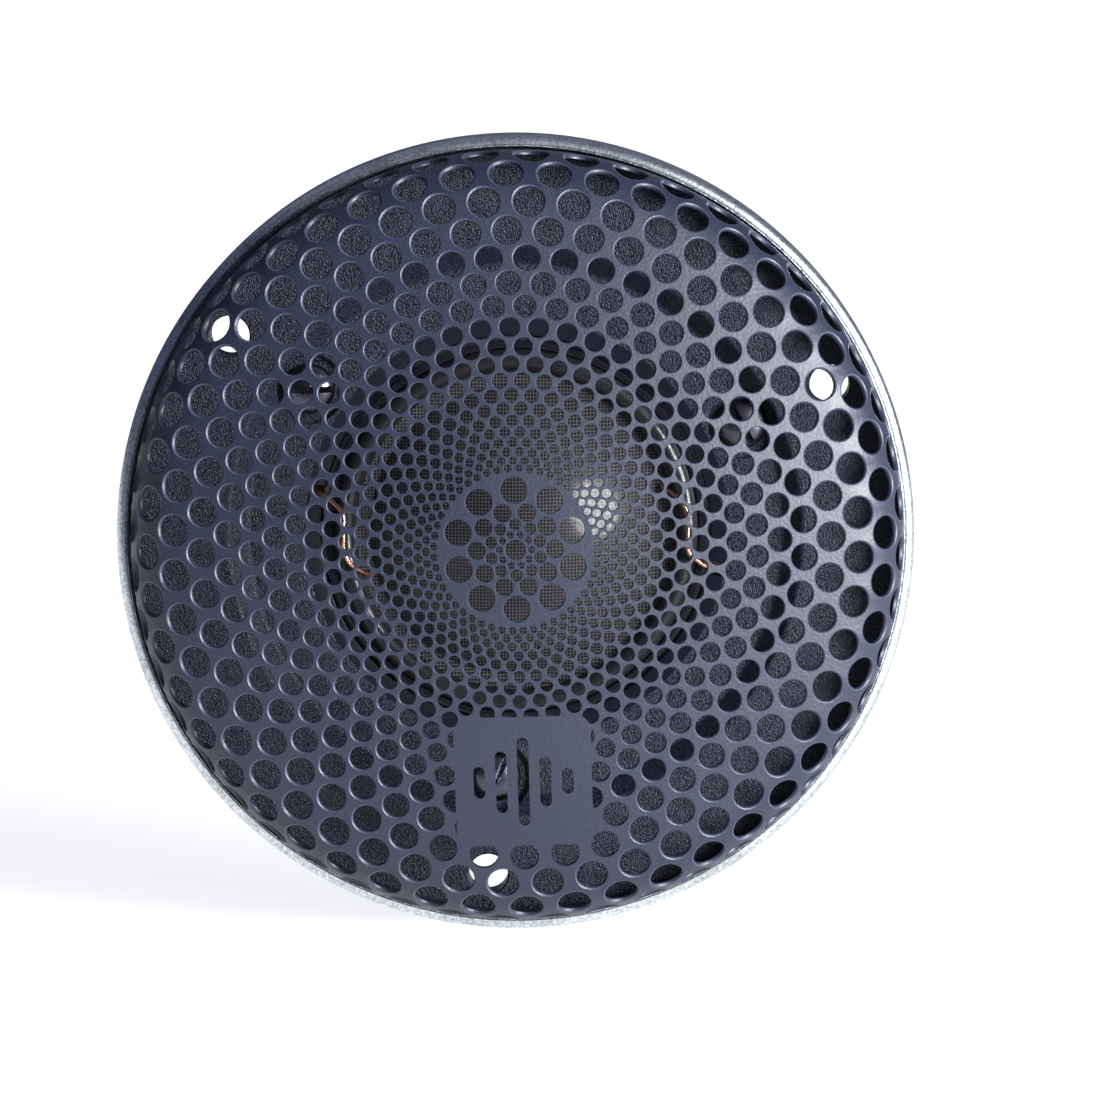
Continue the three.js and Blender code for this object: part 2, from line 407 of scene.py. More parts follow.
@dataclass(frozen=True)
class PowderCoat:
    """Satin powder coat on the pierced sheet, with a painted highlight on the bevels of its holes: they
    are tinted paler to look like bright rims.
    """

    colour: Colour = (0.009, 0.012, 0.027)
    # Pale tint of the hole bevels: a painted highlight of the bright hole rims.
    rim_highlight: Colour = (0.034, 0.040, 0.066)
    speck: float = 0.5 * MM
    sheen: float = 0.48
    clear: float = 0.2
    clear_roughness: float = 0.45
    clear_tint: Colour = (0.86, 0.90, 1.0)

    def material(self) -> bpy.types.Material:
        """The material.

        Returns:
            The finished material.
        """
        r = Recipe("powder coat", self.colour, 0.5)
        r.set("Specular IOR Level", self.sheen)
        r.set("Coat Weight", self.clear)
        r.set("Coat Roughness", self.clear_roughness)
        r.set("Coat Tint", (*self.clear_tint, 1.0))
        edge = r.attribute(PAINTED_RIM_HIGHLIGHT)
        # The hole bevels are tinted towards the pale colour, a painted highlight of the bright hole rims.
        r.tint(r.noise(6 * MM, 3.0) * 0.06 + edge * 0.8, self.colour, self.rim_highlight)
        r.rough(r.noise(0.6 * MM, 3.0), 0.42, 0.54)
        r.bump(r.noise(0.30 * MM, 2.0), 0.036 * MM)
        r.bump(1.0 - r.cells(self.speck, soft=0.2).ramp(0.0, 0.16), 0.008 * MM, 0.7)
        return r.done()


@dataclass(frozen=True)
class TurnedMetal:
    """Bare or plated metal with fine rings from the lathe."""

    name: str
    colour: Colour = (0.62, 0.64, 0.67)
    stain: Colour = (0.50, 0.53, 0.58)
    roughness: tuple[float, float] = (0.2, 0.34)
    groove: float = 0.09 * MM
    relief: float = 0.0006 * MM
    sparkle: float = 0.0

    def material(self) -> bpy.types.Material:
        """The material.

        Returns:
            The finished material.
        """
        r = Recipe(self.name, self.colour, self.roughness[0], 1.0)
        rings = join(r.tree, r.radius(), r.y, 0.0)
        tone = r.noise(5 * MM, 4.0, distortion=0.6)
        if self.sparkle:
            tone = (tone * 0.4 + r.noise(0.3 * MM, 2.0) * 0.8).ramp(0.35, 0.8)
        r.tint(tone, self.stain, self.colour)
        r.rough(r.noise(0.9 * MM, 4.0), *self.roughness)
        r.bump(r.noise(self.groove, 1.0, rings), self.relief)
        if self.sparkle:
            r.bump(r.cells(0.22 * MM, soft=0.1), self.sparkle)
        return r.done()


@dataclass(frozen=True)
class GrainedPlastic:
    """Moulded black plastic with a leather-like grain that stops on some rings."""

    name: str
    colour: Colour = (0.006, 0.008, 0.015)
    high: Colour = (0.023, 0.027, 0.050)
    grain: float = 0.23 * MM
    depth: float = 0.042 * MM
    plain: tuple[tuple[float, float], ...] = ()

    def material(self) -> bpy.types.Material:
        """The material.

        Returns:
            The finished material.
        """
        r = Recipe(self.name, self.colour, 0.4)
        r.set("Specular IOR Level", 0.36)
        stretched = join(r.tree, r.x * 1.12, r.y, r.z * 0.9)
        folds = r.noise(self.grain, 2.5, stretched, 0.9)
        lumps = r.cells(self.grain * 0.8, stretched, 0.6)
        height = (folds * 0.75 + (1.0 - lumps) * 0.45).ramp(0.42, 0.8)
        mask: Value = 1.0
        radius = r.radius()
        blend = 0.15 * MM
        for inner, outer in self.plain:
            inside = radius.ramp(inner, inner + blend) * (1.0 - radius.ramp(outer - blend, outer))
            mask = (1.0 - inside) * mask
        height = height * mask
        r.tint(height, self.colour, self.high)
        r.rough(height, 0.34, 0.46)
        r.bump(height, self.depth)
        return r.done()


@dataclass(frozen=True)
class GlossPlastic:
    """Polished black plastic with a faint ripple."""

    name: str
    colour: Colour = (0.007, 0.007, 0.011)

    def material(self) -> bpy.types.Material:
        """The material.

        Returns:
            The finished material.
        """
        r = Recipe(self.name, self.colour, 0.12)
        r.tint(r.noise(3 * MM, 3.0), self.colour, (0.013, 0.013, 0.018))
        r.rough(r.noise(0.8 * MM, 4.0), 0.08, 0.2)
        r.bump(r.noise(1.4 * MM, 2.0), 0.02 * MM, 0.5)
        return r.done()


@dataclass(frozen=True)
class WovenCloth:
    """Plain-woven cloth drawn over a dome, with a clear doping over it. The threads are painted bright
    only along their crests, a painted highlight, and the gaps between them near black, painted shade.
    """

    name: str
    thread: Colour
    # Near-black colour between the threads: painted shade.
    shaded_gap: Colour
    pitch: float = 0.32 * MM
    relief: float = 0.034 * MM
    doping: float = 0.42
    doping_roughness: float = 0.16
    # How narrow the painted highlight along the thread crests is.
    crest_highlight_sharpness: float = 8.0

    def material(self) -> bpy.types.Material:
        """The material.

        Returns:
            The finished material.
        """
        r = Recipe(self.name, self.thread, 0.5)
        r.set("Specular IOR Level", 0.12)
        r.set("Coat Weight", self.doping)
        r.set("Coat Roughness", self.doping_roughness)
        wander = r.noise(2.6 * MM, 2.0)
        turn = math.pi / self.pitch
        across = r.x * turn + wander * 1.1
        along = r.z * turn + wander * 1.3
        warp = across.sine().size().power(0.7)
        weft = along.sine().size().power(0.7)
        over = ((across * 0.5).sine() * (along * 0.5).sine()).ramp(-0.5, 0.5)
        height = (warp * (over * 0.35 + 0.65)).most(weft * (1.0 - over * 0.35))
        fine = self.crest_highlight_sharpness
        # lines is the weave with a painted highlight along the thread crests; off the crests the
        # near-black gap colour is painted shade.
        lines = (1.0 - (1.0 - warp.power(fine)) * (1.0 - weft.power(fine))).ramp(0.1, 1.0)
        uneven = r.noise(0.3 * MM, 2.0)
        r.tint(lines * (uneven * 0.8 + 0.5), self.shaded_gap, self.thread)
        r.rough(height, 0.62, 0.42)
        r.bump(height, self.relief)
        r.bump(uneven, 0.012 * MM)
        return r.done()


@dataclass(frozen=True)
class DopedRoll:
    """Soft black surround cloth, soaked so that only a hint of the weave is left."""

    colour: Colour = (0.009, 0.009, 0.012)
    pitch: float = 0.30 * MM
    gloss: float = 0.45
    gloss_roughness: float = 0.05

    def material(self) -> bpy.types.Material:
        """The material.

        Returns:
            The finished material.
        """
        r = Recipe("doped roll", self.colour, 0.42)
        r.set("Specular IOR Level", 0.2)
        r.set("Coat Weight", self.gloss)
        r.set("Coat Roughness", self.gloss_roughness)
        turn = math.pi / self.pitch
        weave = (r.x * turn).sine().size() * (r.z * turn).sine().size()
        r.tint(weave * r.noise(1.1 * MM, 2.0), self.colour, (0.030, 0.030, 0.036))
        r.rough(r.noise(0.7 * MM, 3.0), 0.34, 0.52)
        r.bump(weave, 0.014 * MM)
        return r.done()


@dataclass(frozen=True)
class Copper:
    """Bright copper, in wire or in sheet, a little uneven in tone."""

    name: str
    colour: Colour = (0.78, 0.33, 0.17)
    stain: Colour = (0.48, 0.17, 0.08)

    def material(self) -> bpy.types.Material:
        """The material.

        Returns:
            The finished material.
        """
        r = Recipe(self.name, self.colour, 0.22, 1.0)
        r.tint(r.noise(1.2 * MM, 4.0).ramp(0.3, 0.7), self.stain, self.colour)
        r.rough(r.noise(0.5 * MM, 3.0), 0.16, 0.36)
        r.bump(r.noise(0.11 * MM, 2.0), 0.004 * MM)
        return r.done()


@dataclass(frozen=True)
class StampedBrass:
    """Rolled brass strip with faint rolling lines and dull edges."""

    colour: Colour = (0.72, 0.53, 0.24)
    stain: Colour = (0.52, 0.35, 0.14)

    def material(self) -> bpy.types.Material:
        """The material.

        Returns:
            The finished material.
        """
        r = Recipe("stamped brass", self.colour, 0.28, 1.0)
        lines = join(r.tree, r.x * 0.08, r.y * 0.08, r.z)
        r.tint(r.noise(2.5 * MM, 4.0), self.stain, self.colour)
        r.rough(r.noise(0.4 * MM, 3.0, lines), 0.2, 0.42)
        r.bump(r.noise(0.1 * MM, 1.0, lines), 0.003 * MM)
        return r.done()


@dataclass(frozen=True)
class Ferrite:
    """Dark ground ferrite: matt, finely pitted, with light grinding marks."""

    def material(self) -> bpy.types.Material:
        """The material.

        Returns:
            The finished material.
        """
        r = Recipe("ground ferrite", (0.035, 0.035, 0.038), 0.62, 0.15)
        rings = join(r.tree, r.radius() * 0.4, r.y * 3.0, 0.0)
        r.tint(r.noise(1.6 * MM, 5.0), (0.022, 0.022, 0.025), (0.055, 0.055, 0.058))
        r.rough(r.noise(0.4 * MM, 3.0), 0.5, 0.75)
        r.bump(r.noise(0.3 * MM, 1.0, rings), 0.01 * MM)
        r.bump(r.cells(0.5 * MM, soft=0.3).ramp(0.0, 0.25), 0.02 * MM)
        return r.done()


@dataclass(frozen=True)
class Fibre:
    """Matted fibre or open foam: felt has a small size, foam a larger one."""

    name: str
    size: float
    low: Colour
    high: Colour
    depth: float

    def material(self) -> bpy.types.Material:
        """The material.

        Returns:
            The finished material.
        """
        r = Recipe(self.name, self.high, 0.95)
        r.set("Sheen Weight", 0.3)
        r.set("Sheen Roughness", 0.5)
        pores = r.cells(self.size, soft=0.4)
        tufts = r.noise(self.size * 1.7, 4.0, distortion=1.2)
        r.tint((pores + tufts * 0.6).ramp(0.3, 1.0), self.low, self.high)
        r.rough(tufts, 0.85, 1.0)
        r.bump(pores * 0.6 + tufts, self.depth)
        return r.done()


@dataclass(frozen=True)
class CoilFilm:
    """Amber film of the coil's former, with the seam-free shine of polyimide."""

    def material(self) -> bpy.types.Material:
        """The material.

        Returns:
            The finished material.
        """
        r = Recipe("coil film", (0.30, 0.13, 0.03), 0.3)
        r.set("Coat Weight", 0.5)
        r.tint(r.noise(2.0 * MM, 3.0), (0.20, 0.08, 0.02), (0.36, 0.17, 0.04))
        r.rough(r.noise(0.8 * MM, 2.0), 0.22, 0.4)
        r.bump(r.noise(0.6 * MM, 2.0), 0.006 * MM)
        return r.done()


@dataclass(frozen=True)
class StudioPaper:
    """Grey sheet that the tweeter stands on, with a glow of its own that makes it look white."""

    glow: float = 0.85
    base: Colour = (0.38, 0.385, 0.39)
    light: Colour = (0.97, 0.98, 1.0)

    def material(self) -> bpy.types.Material:
        """The material.

        Returns:
            The finished material.
        """
        r = Recipe("studio paper", self.base, 0.75)
        r.set("Emission Color", (*self.light, 1.0))
        r.set("Emission Strength", self.glow)
        r.set("Specular IOR Level", 0.2)
        r.tint(r.noise(60 * MM, 2.0), (0.375, 0.38, 0.385), (0.385, 0.39, 0.395))
        r.rough(r.noise(4 * MM, 2.0), 0.7, 0.8)
        return r.done()


# ---- shapes -------------------------------------------------------------------------


@dataclass(frozen=True)
class Reach:
    """How far a turned node reaches: its outer radius, its front and rear planes and its middle."""

    radius: float
    front: float
    rear: float
    middle: float

    @classmethod
    def of(cls, node: str) -> "Reach":
        """Measures a node of the frame."""
        low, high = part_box(node)
        return cls((high.x - low.x) / 2, low.y, high.y, (high.x + low.x) / 2)


def piece_from(name: str, mesh: bpy.types.Mesh) -> bpy.types.Object:
    """Puts a mesh into the scene under a name.

    Args:
        name: Name of the piece.
        mesh: Its mesh.

    Returns:
        The new piece.
    """
    mesh.name = name
    made = bpy.data.objects.new(name, mesh)
    bpy.context.scene.collection.objects.link(made)
    return made


def mesh_of(name: str, form: bmesh.types.BMesh) -> bpy.types.Mesh:
    """Keeps a form as a mesh and frees it.

    Args:
        name: Name of the mesh.
        form: The form, which can't be used afterwards.

    Returns:
        The mesh.
    """
    mesh = bpy.data.meshes.new(name)
    form.to_mesh(mesh)
    form.free()
    return mesh


def block(name: str, place: Matrix) -> bpy.types.Object:
    """A cube of unit size, brought to its shape and place by a matrix.

    Args:
        name: Name of the piece.
        place: Matrix from the unit cube to the block.

    Returns:
        The block.
    """
    form = bmesh.new()
    bmesh.ops.create_cube(form, size=1.0)
    form.transform(place)
    return piece_from(name, mesh_of(name, form))


def crease(mesh: bpy.types.Mesh, degrees: float = 32.0) -> None:
    """Shades a mesh smooth except along edges that turn by more than an angle.

    Args:
        mesh: The mesh that is shaded.
        degrees: The least turn that stays a hard edge.
    """
    form = bmesh.new()
    form.from_mesh(mesh)
    for edge in form.edges:
        turned_by = edge.calc_face_angle(0.0) if len(edge.link_faces) == 2 else 0.0
        edge.smooth = turned_by < math.radians(degrees)
    for face in form.faces:
        face.smooth = True
    form.to_mesh(mesh)
    form.free()


def arc(centre: tuple[float, float], radius: float, start: float, end: float, steps: int) -> Outline:
    """Points along an arc in the radius and y plane, from one angle to another in degrees."""
    angles = np.radians(np.linspace(start, end, steps + 1))
    return [(centre[0] + radius * math.cos(a), centre[1] + radius * math.sin(a)) for a in angles]


def softened(outline: Outline, size: float, steps: int = 3) -> Outline:
    """Rounds the corners of an outline.

    Args:
        outline: Closed outline, or one that starts and ends on the axis.
        size: How far from a corner its rounding starts.
        steps: Facets of each rounding.

    Returns:
        The outline with each corner replaced by a curve between two support points.
    """
    closed = not (outline[0][0] == 0.0 and outline[-1][0] == 0.0)
    points = [Vector(p) for p in outline]
    count = len(points)
    result: Outline = []
    for i, corner in enumerate(points):
        if not closed and i in (0, count - 1):
            result.append(tuple(corner))
            continue
        before, after = points[i - 1] - corner, points[(i + 1) % count] - corner
        reach = min(size, before.length * 0.36, after.length * 0.36)
        if before.angle(after) > math.radians(165):
            result.append(tuple(corner))
            continue
        start, end = corner + before.normalized() * reach, corner + after.normalized() * reach
        result.append(tuple(corner + before.normalized() * reach * 1.25))
        for t in np.linspace(0.0, 1.0, steps + 1):
            on_curve = start * (1 - t) ** 2 + corner * 2 * t * (1 - t) + end * t ** 2
            result.append(tuple(on_curve))
        result.append(tuple(corner + after.normalized() * reach * 1.25))
    return result


def turned(name: str, outline: Outline, sides: int = 192, rounding: float = 0.0) -> bpy.types.Object:
    """Turns an outline of (radius, y) points about the axis into a closed piece.

    Args:
        name: Name of the piece.
        outline: Closed outline, or one that starts and ends on the axis.
        sides: Facets round the axis.
        rounding: Size of the rounding at each corner.

    Returns:
        The new piece.
    """
    if rounding:
        outline = softened(outline, rounding)
    on_axis = outline[0][0] == 0.0 and outline[-1][0] == 0.0
    angles = np.arange(sides) * (2 * math.pi / sides)
    form = bmesh.new()
    loops = []
    for radius, y in outline:
        if radius == 0.0:
            loops.append([form.verts.new((0.0, y, 0.0))] * sides)
        else:
            loops.append([form.verts.new((radius * math.cos(a), y, radius * math.sin(a))) for a in angles])
    pairs = list(zip(loops, loops[1:]))
    if not on_axis:
        pairs.append((loops[-1], loops[0]))
    for one, two in pairs:
        for i in range(sides):
            k = (i + 1) % sides
            corners = list(dict.fromkeys((one[i], one[k], two[k], two[i])))
            if len(corners) > 2:
                form.faces.new(corners)
    bmesh.ops.recalc_face_normals(form, faces=form.faces)
    mesh = mesh_of(name, form)
    crease(mesh)
    return piece_from(name, mesh)


def ring_outline(inner: float, outer: float, front: float, rear: float) -> Outline:
    """Outline of a plain ring."""
    return [(inner, front), (outer, front), (outer, rear), (inner, rear)]


def rod(circle: float, degrees: float, radius: float, front: float, rear: float,
        sides: int = 40) -> bpy.types.Object:
    """A round bar along the axis, at an angle on a circle, for cutting with.

    Args:
        circle: Radius of the circle that it stands on.
        degrees: Angle round the axis.
        radius: Its radius.
        front: Its front plane.
        rear: Its rear plane.
        sides: Facets round it.

    Returns:
        The bar.
    """
    bar = turned("cutter", [(0.0, front), (radius, front), (radius, rear), (0.0, rear)], sides)
    turn = math.radians(degrees)
    bar.data.transform(Matrix.Translation((circle * math.cos(turn), 0.0, circle * math.sin(turn))))
    return bar


def slab(degrees: float, inner: float, outer: float, width: float, front: float,
         rear: float) -> bpy.types.Object:
    """A block that lies along a radius, at an angle round the axis.

    Args:
        degrees: Angle round the axis.
        inner: Its inner end along the radius.
        outer: Its outer end along the radius.
        width: Its width.
        front: Its front plane.
        rear: Its rear plane.

    Returns:
        The block.
    """
    size = Matrix.Diagonal((outer - inner, rear - front, width, 1.0))
    place = Matrix.Translation(((inner + outer) / 2, (front + rear) / 2, 0.0))
    turn = Matrix.Rotation(-math.radians(degrees), 4, "Y")
    return block("slab", turn @ place @ size)


def settled(made: bpy.types.Object) -> bpy.types.Object:
    """Turns what an object's modifiers give into its plain mesh, and removes them.

    Args:
        made: The object, which keeps its name.

    Returns:
        The same object.
    """
    graph = bpy.context.evaluated_depsgraph_get()
    mesh = bpy.data.meshes.new_from_object(made.evaluated_get(graph), depsgraph=graph)
    made.modifiers.clear()
    made.data = mesh
    mesh.name = made.name
    return made


def combine(target: bpy.types.Object, others: Iterable[bpy.types.Object],
            operation: str = "DIFFERENCE") -> bpy.types.Object:
    """Cuts other solids out of a piece, or joins them to it, and removes them.

    Args:
        target: The piece that is cut or added to.
        others: The solids, which are removed afterwards.
        operation: The Boolean operation.

    Returns:
        The same piece.
    """
    others = list(others)
    for other in others:
        step = target.modifiers.new("combine", "BOOLEAN")
        step.operation = operation
        step.solver = "EXACT"
        step.object = other
    settled(target)
    for other in others:
        bpy.data.objects.remove(other)
    crease(target.data)
    return target


def edged(made: bpy.types.Object, width: float, segments: int = 2) -> bpy.types.Object:
    """Rounds a piece's sharp edges.

    Args:
        made: The piece.
        width: How far a rounding reaches from its edge.
        segments: Facets of each rounding.

    Returns:
        The same piece.
    """
    step = made.modifiers.new("edges", "BEVEL")
    step.width = width
    step.segments = segments
    step.limit_method = "ANGLE"
    step.angle_limit = math.radians(35)
    settled(made)
    crease(made.data, 40.0)
    return made


# ---- fitting a piece to the frame -----------------------------------------------------


class Workshop:
    """Dresses pieces, fits them to the frame and reports each in the log."""

    def __init__(self) -> None:
        """Starts with no materials."""
        self.materials: dict[object, bpy.types.Material] = {}

    def finish(self, finish: object) -> bpy.types.Material:
        """The material of a finish, made once.

        Args:
            finish: The finish.

        Returns:
            Its material.
        """
        if finish not in self.materials:
            self.materials[finish] = finish.material()
        return self.materials[finish]

    def dress(self, made: bpy.types.Object, finish: object) -> bpy.types.Object:
        """Gives a piece one finish all over.

        Args:
            made: The piece.
            finish: The finish.

        Returns:
            The same piece.
        """
        made.data.materials.clear()
        made.data.materials.append(self.finish(finish))
        return made

    def fit(self, made: bpy.types.Object, body: Body, finish: object,
            nodes: Sequence[str]) -> bpy.types.Object:
        """Dresses a piece and lets it stand for nodes of the frame.

        Args:
            made: The finished piece.
            body: The body that it rides on.
            finish: Its finish.
            nodes: The nodes that it replaces.

        Returns:
            The same piece.
        """
        self.dress(made, finish)
        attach(made, body.value)
        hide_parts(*nodes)
        self.note(made, body.value)
        return made

    def fit_bending(self, made: bpy.types.Object, slot: Slot, finish: object, nodes: Sequence[str],
                    inner: float, outer: float) -> bpy.types.Object:
        """Dresses a soft piece and lets it stand for nodes of the frame; it isn't attached to any body.

        Args:
            made: The finished piece.
            slot: Not used.
            finish: Its finish.
            nodes: The nodes that it replaces.
            inner: Not used.
            outer: Not used.

        Returns:
            The same piece.
        """
        self.dress(made, finish)
        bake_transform(made)
        places = np.zeros(len(made.data.vertices) * 3, np.float32)
        made.data.vertices.foreach_get("co", places)
        places = places.reshape(-1, 3)
        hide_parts(*nodes)
        self.note(made, "frame to diaphragm")
        return made

    @staticmethod
    def note(made: bpy.types.Object, where: str) -> None:
        """Reports a piece in the log."""
        log.info("%s: %d faces, on %s", made.name, len(made.data.polygons), where)


class Tree:
    """A geometry node tree with named inputs, while it is put together."""

    def __init__(self, name: str) -> None:
        """Starts a tree with one geometry coming in and one going out.

        Args:
            name: Name of the tree.
        """
        self.tree = bpy.data.node_groups.new(name, "GeometryNodeTree")
        self.tree.interface.new_socket("Geometry", in_out="INPUT", socket_type="NodeSocketGeometry")
        self.tree.interface.new_socket("Geometry", in_out="OUTPUT", socket_type="NodeSocketGeometry")
        self.entry = self.tree.nodes.new("NodeGroupInput")
        self.exit = self.tree.nodes.new("NodeGroupOutput")
        self.values: dict[str, object] = {}

    def socket(self, name: str, kind: str, value: object) -> bpy.types.NodeSocket:
        """Adds a named input and the value that the modifier gives it.

        Args:
            name: Name of the input.
            kind: Its socket type, without the NodeSocket prefix.
            value: What the modifier sets it to.

        Returns:
            The input inside the tree.
        """
        item = self.tree.interface.new_socket(name, in_out="INPUT", socket_type="NodeSocket" + kind)
        self.values[item.identifier] = value
        return self.entry.outputs[name]

    def number(self, name: str, value: float) -> Term:
        """Adds a named number."""
        return Term(self.tree, self.socket(name, "Float", float(value)))

    def whole(self, name: str, value: int) -> Term:
        """Adds a named whole number."""
        return Term(self.tree, self.socket(name, "Int", int(value)))

    def node(self, kind: str, inputs: dict[str, object] = None, **settings: object) -> bpy.types.Node:
        """Adds a node.

        Args:
            kind: The node's type, without its GeometryNode prefix.
            inputs: Socket names, each with a socket, a term or a plain value.
            settings: The node's own settings.

        Returns:
            The node.
        """
        made = self.tree.nodes.new("GeometryNode" + kind)
        for name, value in settings.items():
            setattr(made, name, value)
        for name, value in (inputs or {}).items():
            entry = made.inputs[name]
            if isinstance(value, Term):
                self.tree.links.new(value.socket, entry)
            elif isinstance(value, bpy.types.NodeSocket):
                self.tree.links.new(value, entry)
            else:
                entry.default_value = value
        return made

    def joined(self, *parts: bpy.types.NodeSocket) -> bpy.types.NodeSocket:
        """Joins geometries.

        Args:
            parts: The geometries.

        Returns:
            All of them together.
        """
        made = self.tree.nodes.new("GeometryNodeJoinGeometry")
        for part in parts:
            self.tree.links.new(part, made.inputs["Geometry"])
        return made.outputs["Geometry"]

    def run(self, name: str, result: bpy.types.NodeSocket, finish: bpy.types.Material,
            base: bpy.types.Mesh = None) -> bpy.types.Object:
        """Ends the tree, runs it and keeps its result as a plain piece.

        Args:
            name: Name of the piece.
            result: The geometry that the tree made.
            finish: Material of the result.
            base: Mesh that the tree starts from, or None for an empty one.

        Returns:
            The piece, with no modifier left.
        """
        coat = self.socket("Finish", "Material", finish)
        real = self.node("RealizeInstances", {"Geometry": result})
        dressed = self.node("SetMaterial", {"Geometry": real.outputs[0], "Material": coat})
        self.tree.links.new(dressed.outputs[0], self.exit.inputs[0])
        made = piece_from(name, base or bpy.data.meshes.new(name))
        step = made.modifiers.new(name, "NODES")
        step.node_group = self.tree
        for identifier, value in self.values.items():
            step[identifier] = value
        return settled(made)


# ---- grille -------------------------------------------------------------------------


class Region(Enum):
    """What a loop drawn on the flat sheet stands for."""

    SHEET = "sheet"
    HOLE = "hole"
    PAD = "pad"
    OPENING = "opening"


def circle_of(x: float, y: float, radius: float, count: int) -> Outline:
    """Points round a circle."""
    turns = [2 * math.pi * i / count for i in range(count)]
    return [(x + radius * math.cos(t), y + radius * math.sin(t)) for t in turns]


def rounded_box(x: float, y: float, width: float, height: float, corners: Sequence[float],
                steps: int = 6) -> Outline:
    """Points round a rectangle, with a rounding for each corner from the top right one on.

    Args:
        x: Middle, across.
        y: Middle, upwards.
        width: Its width.
        height: Its height.
        corners: Radius of each corner's rounding.
        steps: Facets of each rounding.

    Returns:
        The points.
    """
    points: Outline = []
    for quarter, (corner, sx, sy) in enumerate(zip(corners, (1, -1, -1, 1), (1, 1, -1, -1))):
        middle = (x + sx * (width / 2 - corner), y + sy * (height / 2 - corner))
        points += arc(middle, corner, 90 * quarter, 90 * quarter + 90, steps)
    return points


def loft(form: bmesh.types.BMesh, loops: Sequence[Sequence[tuple[float, float, float]]]) -> None:
    """Joins closed loops of equally many points with bands of faces.

    Args:
        form: Where the faces are added.
        loops: The loops, in order.
    """
    rows = [[form.verts.new(point) for point in loop] for loop in loops]
    for one, two in zip(rows, rows[1:]):
        for i in range(len(one)):
            k = (i + 1) % len(one)
            form.faces.new((one[i], one[k], two[k], two[i]))


